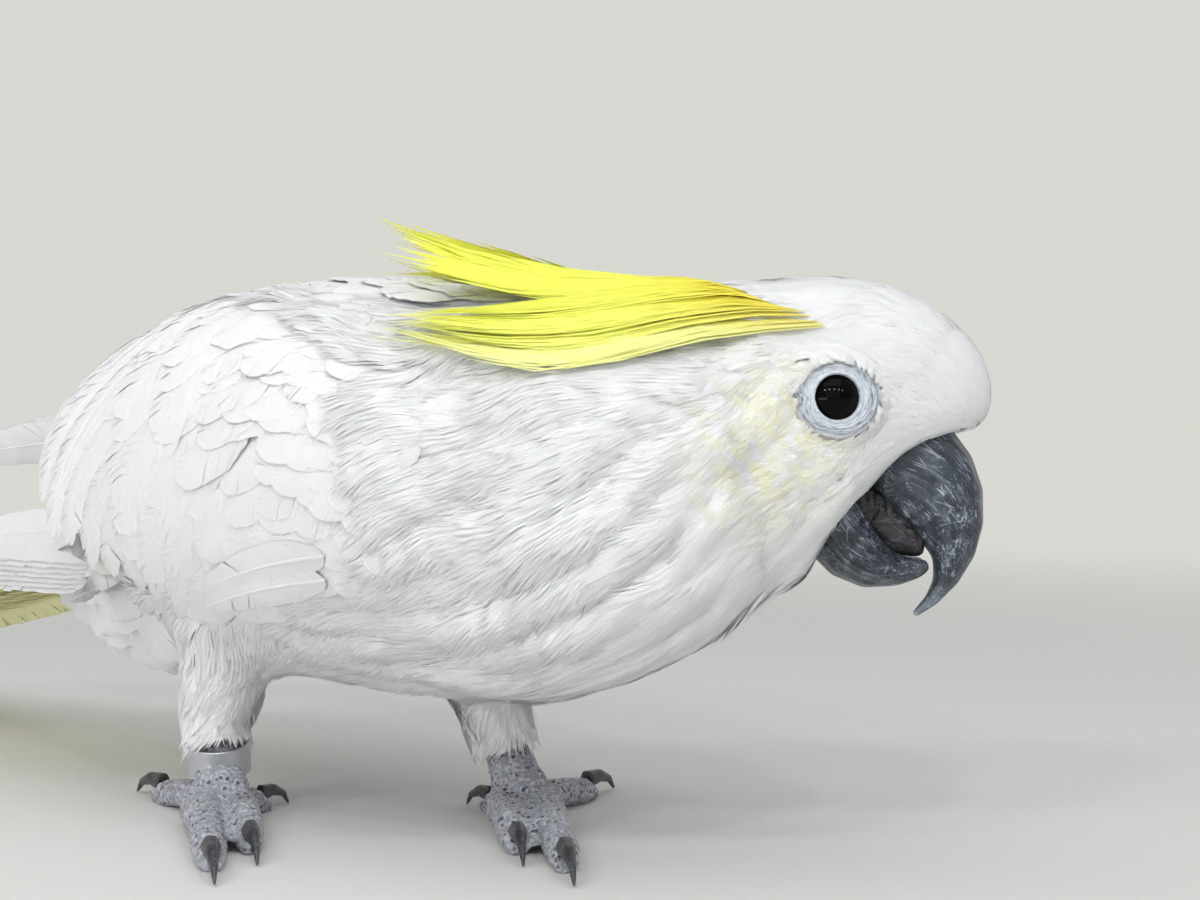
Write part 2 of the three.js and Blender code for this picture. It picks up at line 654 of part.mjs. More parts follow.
// ---------------------------------------------------------------- assembly
const FEATHER_WHITE = new THREE.MeshStandardMaterial({ color: 0xf2f2f0, roughness: 0.85 });
const CREST_YELLOW = new THREE.MeshStandardMaterial({ color: 0xf3f03a, roughness: 0.8 });
const BILL_GREY = new THREE.MeshStandardMaterial({ color: 0x3d434c, roughness: 0.6 });
const FOOT_GREY = new THREE.MeshStandardMaterial({ color: 0x8d8f98, roughness: 0.85 });
const CLAW_GREY = new THREE.MeshStandardMaterial({ color: 0x33363b, roughness: 0.5 });
const EYE_BLACK = new THREE.MeshStandardMaterial({ color: 0x0b0908, roughness: 0.08 });
const EYE_SKIN = new THREE.MeshStandardMaterial({ color: 0xc3cde2, roughness: 0.6 });
const BAND_GREY = new THREE.MeshStandardMaterial({ color: 0xc4c8cf, roughness: 0.45 });

const cockatoo = new THREE.Group();
cockatoo.name = "cockatoo";

function addPart(name, solid, material) {
  const mesh = mainBody(solid).getMesh();
  const geometry = new THREE.BufferGeometry();
  geometry.setAttribute("position", new THREE.BufferAttribute(mesh.vertProperties, 3));
  geometry.setIndex(new THREE.BufferAttribute(mesh.triVerts, 1));
  geometry.computeVertexNormals();
  const part = new THREE.Mesh(geometry, material);
  part.name = name;
  cockatoo.add(part);
}

// Everything under the floor is cut away, which leaves a small flat under each toe.
const BELOW_FLOOR = solidOf(new THREE.BoxGeometry(600, 600, 40).translate(0, 0, -20));

// Where the neck is parted from the head and from the trunk.
const NECK_CUT = { middle: point(36, -39, 95), axis: point(0.97, 0.02, 0.24) };
const TRUNK_CUT = { middle: point(2, -38, 87), axis: point(0.9, -0.42, 0.1) };

// The half space ahead of a cut, or behind it.
function halfSpace(cut, ahead) {
  const shift = cut.axis.clone().normalize().multiplyScalar((ahead ? 1 : -1) * (200 - CUT / 2));
  return slab(cut.middle.clone().add(shift), cut.axis, 400, 400, 400);
}

// The head and the body in one, and the room that pieces lying on them must keep.
const bodyWith = (grow) => solidOf(loft((t, angle) => bodyPoint(t, angle, grow), BODY_FACETS));
const headWith = (grow) => solidOf(loft((t, angle) => headPoint(t, angle, grow), HEAD_FACETS));
const whole = bodyWith(0).add(headWith(0));
const around = bodyWith(GAP).add(headWith(GAP));

// Bill and tongue.
const upperBill = solidOf(sheath(UPPER_BILL, UPPER_BILL_FACETS));
const upperBillRoom = solidOf(sheath(UPPER_BILL, UPPER_BILL_FACETS, GAP));
const lowerBillRoom = solidOf(sheath(LOWER_BILL, LOWER_BILL_FACETS, GAP));
const tongueRoom = solidOf(limb(TONGUE, TONGUE_FACETS, GAP));
const trough = solidOf(limb(TROUGH, TROUGH_FACETS));
addPart("bill_upper", upperBill, BILL_GREY);
addPart(
  "bill_lower",
  carve(solidOf(sheath(LOWER_BILL, LOWER_BILL_FACETS)), [trough, upperBillRoom, tongueRoom]),
  BILL_GREY,
);
addPart("tongue", solidOf(limb(TONGUE, TONGUE_FACETS)).subtract(upperBillRoom), CLAW_GREY);

// Head, neck and trunk.
const eyeRooms = [1, -1].flatMap((side) => [
  solidOf(eyeball(side, GAP)),
  solidOf(eyeRing(side, GAP, 2)),
]);
const faced = carve(whole, [upperBillRoom, lowerBillRoom, tongueRoom, ...eyeRooms]);
addPart("head", faced.subtract(halfSpace(NECK_CUT, false)), FEATHER_WHITE);
addPart(
  "neck",
  carve(whole, [lowerBillRoom, halfSpace(NECK_CUT, true), halfSpace(TRUNK_CUT, false)]),
  FEATHER_WHITE,
);
addPart("trunk", whole.subtract(halfSpace(TRUNK_CUT, true)), FEATHER_WHITE);

for (const [name, side] of [["right", 1], ["left", -1]]) {
  addPart(`eye_${name}`, solidOf(eyeball(side)), EYE_BLACK);
  addPart(`eye_ring_${name}`, solidOf(eyeRing(side)).subtract(eyeRooms[side > 0 ? 0 : 2]), EYE_SKIN);
}

// Crest, wings and tail lie on the body and are kept clear of it and of one another.
const each = (count, make) => union(Array.from({ length: count }, (_, k) => solidOf(make(k))));
const crest = each(2 * CREST_PAIRS + 1, (k) => crestFeather(k - CREST_PAIRS));

const coverOf = (name, grow) =>
  solidOf(shield(name, grow)).add(each(SECONDARY_COUNT, (k) => secondary(name, k, grow)));
const primariesOf = (name, grow) => each(PRIMARY_COUNT, (k) => primary(name, k, grow));
const wingRooms = [];
for (const name of ["right", "left"]) {
  const coverRoom = coverOf(name, WIDE_GAP);
  addPart(`wing_${name}`, coverOf(name, 0).subtract(around), FEATHER_WHITE);
  addPart(`primaries_${name}`, carve(primariesOf(name, 0), [around, coverRoom]), FEATHER_WHITE);
  wingRooms.push(coverRoom, primariesOf(name, WIDE_GAP));
}
addPart("crest", carve(crest, [around, ...wingRooms]), CREST_YELLOW);
addPart("tail", carve(each(TAIL.count, rectrix), [around, ...wingRooms]), FEATHER_WHITE);

// Legs and feet.
for (const [name, foot] of Object.entries(FEET)) {
  const shank = solidOf(shankShape(foot)).subtract(BELOW_FLOOR);
  const shankRoom = solidOf(shankShape(foot, WIDE_GAP));
  const thigh = carve(solidOf(thighShape(foot)), [around, shankRoom, ...wingRooms]);
  addPart(`thigh_${name}`, thigh, FEATHER_WHITE);
  addPart(`tarsus_${name}`, shank, FOOT_GREY);
  if (name === "right") addPart("leg_ring", solidOf(legBand(foot)), BAND_GREY);
  const toeRooms = foot.toes.map((toe) => solidOf(toeShape(foot, toe, GAP)));
  foot.toes.forEach((toe, k) => {
    const clawRoom = solidOf(clawShape(foot, toe, GAP));
    const bigger = toeRooms.filter((_, other) => foot.toes[other].length > toe.length);
    const rooms = [shankRoom, clawRoom, BELOW_FLOOR, ...bigger];
    addPart(`toe_${name}_${toe.name}`, carve(solidOf(toeShape(foot, toe)), rooms), FOOT_GREY);
    const claw = solidOf(clawShape(foot, toe)).subtract(BELOW_FLOOR);
    addPart(`claw_${name}_${toe.name}`, claw, CLAW_GREY);
  });
}

// The origin is set under the middle of the whole bird, on the floor.
const bounds = new THREE.Box3().setFromObject(cockatoo);
const middle = bounds.getCenter(point(0, 0, 0));
cockatoo.position.set(-middle.x, -middle.y, -bounds.min.z);

export default cockatoo;
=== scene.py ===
# A sulphur-crested cockatoo (Cacatua galerita) as a still, life-size museum model: one skin over
# the whole bird, plumage of separate feathers on it, and bill, eyes, claws and leg ring set in.
# Metres, +Z up, +X the way the head points, soles on z = 0.
import math
from collections import namedtuple

import bmesh
import bpy
import numpy as np
from mathutils import Matrix, Vector, noise
from mathutils.bvhtree import BVHTree


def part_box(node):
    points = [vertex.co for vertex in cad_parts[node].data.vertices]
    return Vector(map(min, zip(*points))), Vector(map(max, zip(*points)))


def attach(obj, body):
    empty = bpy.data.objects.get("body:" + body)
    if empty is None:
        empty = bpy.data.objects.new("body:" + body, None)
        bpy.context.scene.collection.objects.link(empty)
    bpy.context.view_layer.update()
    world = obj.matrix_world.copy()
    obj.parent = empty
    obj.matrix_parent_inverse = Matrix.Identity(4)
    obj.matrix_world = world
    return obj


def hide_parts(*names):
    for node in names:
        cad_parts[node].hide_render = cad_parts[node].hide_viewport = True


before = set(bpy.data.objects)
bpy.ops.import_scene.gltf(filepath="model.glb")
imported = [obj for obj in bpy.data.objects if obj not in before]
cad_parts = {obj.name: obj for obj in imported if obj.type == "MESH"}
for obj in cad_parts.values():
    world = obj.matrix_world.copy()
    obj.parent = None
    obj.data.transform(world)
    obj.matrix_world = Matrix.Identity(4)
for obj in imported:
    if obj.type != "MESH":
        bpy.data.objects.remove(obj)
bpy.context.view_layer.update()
MM = 0.001
SIDES = {"right": -1, "left": 1}  # the way each side lies along Y at the head


# ---------------------------------------------------------------- floor, backdrop, light, camera
# A pale seamless floor that rises into a backdrop, one broad soft lamp overhead, a weaker one in
# front, and even light from all round. The camera looks level at the bird's right side.
def lie_smooth(mesh):
    mesh.polygons.foreach_set("use_smooth", np.ones(len(mesh.polygons), bool))


def hang(name, mesh, *materials):
    """A new object that holds a finished mesh."""
    piece = bpy.data.objects.new(name, mesh)
    bpy.context.scene.collection.objects.link(piece)
    for material in materials:
        mesh.materials.append(material)
    return piece


def shader(name):
    """A material with one Principled BSDF; gives the material, its node tree and that node."""
    material = bpy.data.materials.new(name)
    material.use_nodes = True
    tree = material.node_tree
    return material, tree, tree.nodes["Principled BSDF"]


def put(tree, kind, inputs=(), **settings):
    """A node with its settings and inputs; an input that is a socket is linked, others are set."""
    node = tree.nodes.new(kind)
    for key, value in settings.items():
        setattr(node, key, value)
    for key, value in dict(inputs).items():
        if isinstance(value, bpy.types.NodeSocket):
            tree.links.new(value, node.inputs[key])
        else:
            node.inputs[key].default_value = value
    return node


def ranged(tree, value, low, high, to_low=0.0, to_high=1.0, kind="LINEAR"):
    """A value mapped from one range to another, held at its ends."""
    node = put(tree, "ShaderNodeMapRange", {"Value": value, "From Min": low, "From Max": high})
    node.interpolation_type = kind
    node.inputs["To Min"].default_value = to_low
    node.inputs["To Max"].default_value = to_high
    return node.outputs["Result"]


def mixed(tree, factor, a, b):
    """Two colours mixed by a factor; each colour is a socket or three numbers."""
    node = put(tree, "ShaderNodeMix", {"Factor": factor}, data_type="RGBA")
    for key, colour in (("A", a), ("B", b)):
        if isinstance(colour, bpy.types.NodeSocket):
            tree.links.new(colour, node.inputs[key])
        else:
            node.inputs[key].default_value = (*colour, 1)
    return node.outputs["Result"]


def maths(tree, operation, a, b, **settings):
    """One step of arithmetic on sockets or numbers."""
    node = put(tree, "ShaderNodeMath", {0: a, 1: b}, operation=operation, **settings)
    return node.outputs["Value"]


def noisy(tree, vector, scale, detail=2.0):
    """Cloudy noise from 0 to 1 over a vector, with so many bumps to a unit of it."""
    node = put(tree, "ShaderNodeTexNoise", {"Vector": vector, "Scale": scale, "Detail": detail})
    return node.outputs["Fac"]


def here(tree):
    """The place of each point in metres, in the frame of the whole bird."""
    return put(tree, "ShaderNodeTexCoord").outputs["Object"]


def coloured(tree, bsdf, colour):
    tree.links.new(colour, bsdf.inputs["Base Color"])


BACKDROP_TONES = ((0.72, 0.72, 0.695), (0.75, 0.75, 0.725))
GLOW = (0.69, 0.69, 0.645, 1)
GLOW_STARTS, GLOW_FULL = 0.3, 0.95  # metres from the bird


def backdrop_material():
    material, tree, bsdf = shader("pale_backdrop")
    place = here(tree)
    coloured(tree, bsdf, mixed(tree, noisy(tree, place, 1.4), *BACKDROP_TONES))
    bsdf.inputs["Roughness"].default_value = 0.9
    # away from the bird, what the camera sees is a plain glow of the same pale grey
    glow = put(tree, "ShaderNodeEmission", {"Color": GLOW}).outputs["Emission"]
    apart = put(tree, "ShaderNodeVectorMath", {0: place}, operation="LENGTH").outputs["Value"]
    far = ranged(tree, apart, GLOW_STARTS, GLOW_FULL, kind="SMOOTHSTEP")
    ray = put(tree, "ShaderNodeLightPath").outputs
    seen = maths(tree, "ADD", ray["Is Camera Ray"], ray["Is Glossy Ray"])
    seen = maths(tree, "ADD", seen, ray["Is Transmission Ray"], use_clamp=True)
    mask = maths(tree, "MULTIPLY", seen, far)
    blend = put(tree, "ShaderNodeMixShader", {"Fac": mask, 1: bsdf.outputs["BSDF"], 2: glow})
    tree.links.new(blend.outputs["Shader"], tree.nodes["Material Output"].inputs["Surface"])
    return material


def mesh_of(bm, name):
    """Turns a finished bmesh into a mesh."""
    mesh = bpy.data.meshes.new(name)
    bm.to_mesh(mesh)
    bm.free()
    return mesh


FLOOR_HALF = 3.0
CURVE = 0.9  # radius of the sweep between floor and backdrop
WALL = 2.5


def floor_sweep():
    bm = bmesh.new()
    front = [bm.verts.new((x, -FLOOR_HALF, 0)) for x in (-FLOOR_HALF, FLOOR_HALF)]
    edge = bm.edges.new(front)
    flat = bmesh.ops.extrude_edge_only(bm, edges=[edge])["geom"]
    moved = [v for v in flat if isinstance(v, bmesh.types.BMVert)]
    bmesh.ops.translate(bm, verts=moved, vec=(0, 2 * FLOOR_HALF - CURVE, 0))
    last = [e for e in flat if isinstance(e, bmesh.types.BMEdge)]
    bmesh.ops.spin(
        bm,
        geom=last,
        cent=(0, FLOOR_HALF - CURVE, CURVE),
        axis=(1, 0, 0),
        angle=math.pi / 2,
        steps=12,
    )
    top = [e for e in bm.edges if all(v.co.z > CURVE - 1e-4 for v in e.verts)]
    wall = bmesh.ops.extrude_edge_only(bm, edges=top)["geom"]
    raised = [v for v in wall if isinstance(v, bmesh.types.BMVert)]
    bmesh.ops.translate(bm, verts=raised, vec=(0, 0, WALL))
    bmesh.ops.remove_doubles(bm, verts=bm.verts, dist=1e-5)
    mesh = mesh_of(bm, "floor")
    lie_smooth(mesh)
    return hang("floor", mesh, backdrop_material())


def lamp(name, place, target, size, power):
    light = bpy.data.lights.new(name, "AREA")
    light.shape = "RECTANGLE"
    light.size, light.size_y = size
    light.energy = power
    bulb = bpy.data.objects.new(name, light)
    bulb.location = place
    bulb.rotation_euler = (Vector(target) - Vector(place)).to_track_quat("-Z", "Y").to_euler()
    bpy.context.scene.collection.objects.link(bulb)


def even_light(strength, tint):
    world = bpy.data.worlds.new("studio")
    world.use_nodes = True
    background = world.node_tree.nodes["Background"]
    background.inputs["Color"].default_value = (*tint, 1)
    background.inputs["Strength"].default_value = strength
    bpy.context.scene.world = world


CAMERA_PLACE = (0.0946, -0.5681, 0.109)
LENS, SENSOR = 60, 36  # mm
CAMERA_SHIFT = -0.0508  # the bird stands a little below the lens axis

camera_data = bpy.data.cameras.new("camera")
camera_data.lens = LENS
camera_data.sensor_width = SENSOR
camera_data.shift_y = CAMERA_SHIFT
camera_data.clip_start = 0.01
camera = bpy.data.objects.new("camera", camera_data)
camera.location = CAMERA_PLACE
camera.rotation_euler = (math.pi / 2, 0, 0)
bpy.context.scene.collection.objects.link(camera)
bpy.context.scene.camera = camera
bpy.context.scene.view_settings.view_transform = "Standard"

# lamp: (place, target, width and depth in metres, watts)
LAMPS = {
    "overhead": ((0.0, -0.2, 1.3), (0, 0, 0.1), (1.4, 1.1), 4.4),
    "front": ((-0.25, -1.8, 1.0), (0, 0, 0.1), (2.4, 1.8), 8.0),
    "low": ((-0.6, -0.7, 0.08), (-0.15, 0.05, 0.07), (0.5, 0.14), 0.9),
}
# small panels in a row, which the eyes mirror as a line of glints
PANELS, PANEL_STEP = 5, 0.44
PANEL_ROW = (0.08, -0.95, 0.95)  # the middle of the row
PANEL = ((0.15, -0.1, 0.11), (0.1, 0.1), 1.35)  # target, size and watts of each

floor_sweep()
for name, settings in LAMPS.items():
    lamp(name, *settings)
for k in range(PANELS):
    row_x, row_y, row_z = PANEL_ROW
    lamp(f"panel_{k}", (row_x + PANEL_STEP * (k - (PANELS - 1) / 2), row_y, row_z), *PANEL)
even_light(0.42, (0.97, 0.98, 1.0))


# ---------------------------------------------------------------- skin
# One skin runs over head, neck, trunk, wing arms, thighs, shanks and toes. It lies under the coat
# by the coat's depth, and is bare on feet and round the eyes, where it forms scales and lids.
VOXEL = 1.8 * MM
SWELL = 0.45 * MM  # closes the thin cuts between neighbouring solids before they are joined
TOES = [f"toe_{side}_{k}" for side in SIDES for k in (1, 2, 3, 4)]
FOOT_NODES = TOES + [f"tarsus_{side}" for side in SIDES]
EYE_NODES = [f"eye_ring_{side}" for side in SIDES] + [f"eye_{side}" for side in SIDES]
# node group: (nodes, coat depth in mm, rounds of smoothing)
FLESH = {
    "head": (["head"], 0.9, 14),
    "neck": (["neck"], 2.8, 40),
    "trunk": (["trunk"], 3.6, 46),
    "wing": (["wing_right", "wing_left"], 2.6, 26),
    "thigh": (["thigh_right", "thigh_left"], 2.2, 10),
    "foot": (FOOT_NODES, 0.0, 1),
    "eye": (EYE_NODES, 0.3, 2),
}


def welded(nodes):
    """One bmesh with the merged surfaces of CAD nodes."""
    bm = bmesh.new()
    for node in nodes:
        bm.from_mesh(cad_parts[node].data)
    bmesh.ops.remove_doubles(bm, verts=bm.verts, dist=0.001 * MM)
    bmesh.ops.triangulate(bm, faces=bm.faces)
    bm.normal_update()
    return bm


def surface_of(nodes):
    bm = welded(nodes)
    tree = BVHTree.FromBMesh(bm)
    bm.free()
    return tree


def centre(node):
    low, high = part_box(node)
    return (low + high) / 2


def at(node, x, y, z):
    """A place in a node's box, as shares of its length, depth and height."""
    low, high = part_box(node)
    return np.array([low[k] + (high[k] - low[k]) * share for k, share in enumerate((x, y, z))])


def points_of(mesh):
    points = np.empty(3 * len(mesh.vertices), np.float32)
    mesh.vertices.foreach_get("co", points)
    return points.reshape(-1, 3).astype(float)


def set_points(mesh, points):
    mesh.vertices.foreach_set("co", points.astype(np.float32).ravel())
    mesh.update()


def edges_of(mesh):
    edges = np.empty(2 * len(mesh.edges), np.int32)
    mesh.edges.foreach_get("vertices", edges)
    return edges.reshape(-1, 2)


def eased(values, edges, share):
    """Values moved by a share of the way to the mean of their neighbours."""
    size = len(values)
    count = np.bincount(edges.ravel(), minlength=size).clip(1)
    flat = values.reshape(size, -1)
    mean = np.empty_like(flat)
    for k in range(flat.shape[1]):
        total = np.bincount(edges[:, 0], flat[edges[:, 1], k], size)
        mean[:, k] = (total + np.bincount(edges[:, 1], flat[edges[:, 0], k], size)) / count
    share = np.asarray(share).reshape(-1, 1) if np.ndim(share) else share
    return (flat + (mean - flat) * share).reshape(values.shape)


TRUNK_YAW = math.radians(40)
FORWARD = np.array([math.cos(TRUNK_YAW), -math.sin(TRUNK_YAW), 0])  # the way the breast points


WING_END = 56 * MM  # how far behind the trunk's middle the arm and its skin end


def remeshed(piece, voxel):
    """Rebuilds a piece as one closed surface of small even faces."""
    former = piece.data
    remesh = piece.modifiers.new("even_faces", "REMESH")
    remesh.mode = "VOXEL"
    remesh.voxel_size = voxel
    depsgraph = bpy.context.evaluated_depsgraph_get()
    piece.data = bpy.data.meshes.new_from_object(piece.evaluated_get(depsgraph))
    piece.modifiers.clear()
    bpy.data.meshes.remove(former)
    return piece


def joined_flesh():
    """The rough skin: all flesh swollen a little and remeshed as one closed surface."""
    bm = bmesh.new()
    for nodes, _, _ in FLESH.values():
        part = welded(nodes)
        if nodes[0].startswith("wing"):
            bmesh.ops.bisect_plane(
                part,
                geom=part.verts[:] + part.edges[:] + part.faces[:],
                plane_co=Vector(centre("trunk")) - Vector(FORWARD) * WING_END,
                plane_no=-FORWARD,
                clear_outer=True,
            )
            bmesh.ops.holes_fill(part, edges=[e for e in part.edges if e.is_boundary])
            part.normal_update()
        for v in part.verts:
            v.co += v.normal * SWELL
        mesh = mesh_of(part, "part")
        bm.from_mesh(mesh)
        bpy.data.meshes.remove(mesh)
    return remeshed(hang("skin", mesh_of(bm, "skin")), VOXEL)


def group_of(points):
    """For each point, the number of the flesh group whose solids are nearest."""
    bm = bmesh.new()
    owner = []
    for number, (nodes, _, _) in enumerate(FLESH.values()):
        for node in nodes:
            bm.from_mesh(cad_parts[node].data)
            owner += [number] * (len(bm.faces) - len(owner))
    tree = BVHTree.FromBMesh(bm)
    bm.free()
    return np.array([owner[tree.find_nearest(p)[2]] for p in points])


def normals_of(mesh):
    normals = np.empty(3 * len(mesh.vertices), np.float32)
    mesh.vertices.foreach_get("normal", normals)
    return normals.reshape(-1, 3).astype(float)


def under_the_coat(body):
    """Smooths the rough skin and sinks it below the feathers; bare parts keep their place."""
    mesh = body.data
    points, edges = points_of(mesh), edges_of(mesh)
    group = group_of(points)
    depth = np.array([depth for _, depth, _ in FLESH.values()])[group] * MM
    rounds = np.array([rounds for _, _, rounds in FLESH.values()], float)[group]
    for _ in range(12):
        depth = eased(depth, edges, 0.5)
        rounds = eased(rounds, edges, 0.5)
    for step in range(int(rounds.max())):
        points = eased(points, edges, 0.5 * np.clip(rounds - step, 0, 1))
    set_points(mesh, points)
    points = points - normals_of(mesh) * (depth + SWELL)[:, None]
    for _ in range(2):
        points = eased(points, edges, 0.3)
    set_points(mesh, points)


def refine(body, wanted, times):
    """Divides the faces whose middle is wanted, so that they can hold fine relief."""
    bm = bmesh.new()
    bm.from_mesh(body.data)
    for step in range(times):
        chosen = [f for f in bm.faces if wanted(f.calc_center_median(), step)]
        edges = list({e for f in chosen for e in f.edges})
        bmesh.ops.subdivide_edges(bm, edges=edges, cuts=1, use_grid_fill=True)
    bmesh.ops.triangulate(bm, faces=[f for f in bm.faces if len(f.verts) > 4])
    bm.to_mesh(body.data)
    bm.free()


FOOT_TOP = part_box("thigh_right")[0].z + 5 * MM
EYE_TURN, EYE_TILT = math.radians(8), math.radians(4)
EYE_RADIUS = (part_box("eye_right")[1].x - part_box("eye_right")[0].x) / 2
LID_OPENING = 4.85 * MM
LID_REACH = 12 * MM  # where the wrinkled skin round the eye has faded into the face


def eye_frame(side):
    """Middle of the eyeball, and the directions out of the head, forwards and up at that eye."""
    y = SIDES[side] * math.cos(EYE_TURN)
    outward = Vector((math.sin(EYE_TURN), y, math.sin(EYE_TILT))).normalized()
    ahead = Vector((1, 0, 0)) - outward * outward.x
    ahead.normalize()
    upward = ahead.cross(outward) * SIDES[side]
    return centre(f"eye_{side}"), outward, ahead, upward


skin = joined_flesh()
under_the_coat(skin)
refine(skin, lambda p, step: p.z < FOOT_TOP - step * MM, 2)
for eye_side in SIDES:
    middle, out, _, _ = eye_frame(eye_side)
    front = middle + out * 5 * MM
    refine(skin, lambda p, step: (p - front).length < LID_REACH - step * 0.6 * MM, 3)


# mm from the eye's middle: the beaded rim, the furrow behind it, the first fold, the last bare skin
LID_BEADS, LID_FURROW, LID_FOLDS, LID_END = 5.5, 6.05, 5.9, 8.6


def lids(points, side):
    """Lifts the skin into lids: a beaded rim round the eyeball and folds that fade outwards."""
    middle, out, ahead, up = (np.array(v) for v in eye_frame(side))
    local = points - middle
    height, x, z = local @ out, local @ ahead, local @ up
    reach, turn = np.hypot(x, z), np.arctan2(z, x)
    corner = 0.26 * np.exp(-(((turn - 2.65) / 0.42) ** 2)) + 0.05 * np.cos(2 * turn)
    r = reach / MM / (1 + corner * np.clip((reach / MM - 5.4) / 3, 0, 1))
    near = (r < LID_REACH / MM) & (height > 0)
    rim = math.sqrt(EYE_RADIUS**2 - LID_OPENING**2) / MM
    slope = rim + 0.75 - 0.055 * np.clip(r - 5.2, 0, None) ** 1.6
    wander = 0.6 * np.sin(3 * turn + 0.7) + 0.4 * np.sin(7 * turn + 2) + 0.25 * np.sin(13 * turn)
    folds = 0.15 * np.sin(5.2 * (r - 5.6) + wander) + 0.1 * np.sin(9.7 * (r - 5.6) - 1.7 * wander)
    slope += folds * np.clip((r - LID_FOLDS) / 0.8, 0, 1)
    beads = 0.22 * np.abs(np.sin(24 * turn)) ** 0.7 * np.exp(-(((r - LID_BEADS) / 0.34) ** 2))
    furrow = -0.3 * np.exp(-(((r - LID_FURROW) / 0.14) ** 2))
    slope += beads + furrow
    inside = np.clip((5.15 - r) / 0.35, 0, 1)
    slope -= 2.6 * inside**2 * (3 - 2 * inside)
    fade = np.clip((r - LID_END) / (LID_REACH / MM - LID_END), 0, 1)
    fade = fade * fade * (3 - 2 * fade)
    wanted = slope * (1 - fade) + height / MM * fade
    shift = np.where(near, wanted - height / MM, 0) * MM
    bare = np.where(near, 1 - np.clip((r - LID_END) / 1.4, 0, 1), 0)
    polar = np.stack([r, 1.6 * np.cos(turn) * 3, 1.6 * np.sin(turn) * 3], axis=1) * near[:, None]
    return points + shift[:, None] * out, bare, polar


SCALE_SIZE = 1.8 * MM
SCALE_HEIGHT = 0.32  # mm


def scaly(mesh):
    """Lifts the skin of the feet into rows of small round scales; gives their relief as well."""
    points, normals = points_of(mesh), normals_of(mesh)
    relief = np.zeros(len(points))
    feet = np.nonzero(points[:, 2] < FOOT_TOP)[0]
    for k in feet:
        p = Vector(points[k])
        near, _ = noise.voronoi(p / SCALE_SIZE, distance_metric="DISTANCE")
        relief[k] = min(1, (near[1] - near[0]) * 1.9)
    lifted = points + normals * (relief * SCALE_HEIGHT * MM)[:, None]
    lifted[feet, 2] = lifted[feet, 2].clip(0)
    return lifted, relief


def hug_the_feet(points, edges, share):
    """Draws the refined skin of the feet onto the toes and shanks, so that they part again."""
    solids = surface_of(FOOT_NODES)
    for k in np.nonzero(share > 0)[0]:
        nearest = solids.find_nearest(Vector(points[k]))[0]
        points[k] += (np.array(nearest) - points[k]) * share[k] * 0.92
    for _ in range(4):
        points = eased(points, edges, 0.45 * share)
    return points


edges = edges_of(skin.data)
shape = points_of(skin.data)
foot_share = np.clip((FOOT_TOP - shape[:, 2]) / (3 * MM), 0, 1)
set_points(skin.data, hug_the_feet(shape, edges, foot_share))
shape, scale_relief = scaly(skin.data)
bare_face, lid_place = np.zeros(len(shape)), np.zeros((len(shape), 3))
for eye_side in SIDES:
    shape, bare, polar = lids(shape, eye_side)
    bare_face = np.maximum(bare_face, bare)
    lid_place += polar
set_points(skin.data, shape)


def keep_values(mesh, name, values):
    """Stores a number for each point of a mesh, for its material to read."""
    mesh.attributes.new(name, "FLOAT", "POINT").data.foreach_set("value", values.astype(np.float32))


def keep_vectors(mesh, name, vectors):
    layer = mesh.attributes.new(name, "FLOAT_VECTOR", "POINT")
    layer.data.foreach_set("vector", vectors.astype(np.float32).ravel())


keep_values(skin.data, "scale_relief", scale_relief)
keep_values(skin.data, "foot", foot_share)
keep_values(skin.data, "bare_face", bare_face)
keep_vectors(skin.data, "lid_place", lid_place)
lie_smooth(skin.data)


def stretched(tree, vector, scale, turn=(0, 0, 0)):
    """A vector turned and scaled, which draws out what is laid on it."""
    node = put(tree, "ShaderNodeMapping", {"Vector": vector, "Rotation": turn, "Scale": scale})
    return node.outputs["Vector"]


def stored(tree, name, output="Fac"):
    """A value that the mesh keeps in an attribute."""
    return put(tree, "ShaderNodeAttribute", attribute_name=name).outputs[output]


def bumped(tree, bsdf, height, strength, distance):
    """Gives a shader fine relief that the mesh leaves out; distance is its depth in metres."""
    values = {"Height": height, "Strength": strength, "Distance": distance}
    tree.links.new(put(tree, "ShaderNodeBump", values).outputs["Normal"], bsdf.inputs["Normal"])


DOWN = (0.84, 0.83, 0.80)  # the skin under the plumage, hidden by down
# powdery lilac grey of the feet, painted shade in the furrows between the scales, and the dark middles
# of the scales
FOOT_POWDER = ((0.28, 0.29, 0.33), (0.60, 0.61, 0.66))
FOOT_GROOVE_SHADE, FOOT_FOLD_SHADE, FOOT_DARK = (0.30, 0.31, 0.36), (0.24, 0.25, 0.30), (0.06, 0.063, 0.08)
# pale blue of the lids' rims, the greyer skin further out, and dark lines of painted shade in its
# wrinkles, which grow stronger outwards
LID_RIM = ((0.56, 0.62, 0.69), (0.82, 0.86, 0.91))
LID_OUTER = ((0.42, 0.46, 0.52), (0.72, 0.76, 0.82))
LID_CREASE_SHADE = (0.16, 0.19, 0.25)


def scale_tones(tree, place, grain, relief):
    """The colour of the feet, with painted shade in the furrows between the scales, and where they are
    darkest.
    """
    pebbles = put(tree, "ShaderNodeTexVoronoi", {"Vector": place, "Scale": 620.0}).outputs["Distance"]
    spots = ranged(tree, pebbles, 0.42, 0.27)
    where = ranged(tree, noisy(tree, place, 260.0), 0.4, 0.56, 0.15, 0.95)
    dark = maths(tree, "MULTIPLY", spots, where)
    powder = mixed(tree, ranged(tree, grain, 0.35, 0.65), *FOOT_POWDER)
    # painted shade: the scales grow darker towards their edges and where the skin lies low between
    # them
    powder = mixed(tree, ranged(tree, pebbles, 0.6, 0.8), powder, FOOT_GROOVE_SHADE)
    powder = mixed(tree, ranged(tree, relief, 0.2, 0.0), powder, FOOT_FOLD_SHADE)
    return mixed(tree, dark, powder, FOOT_DARK), dark


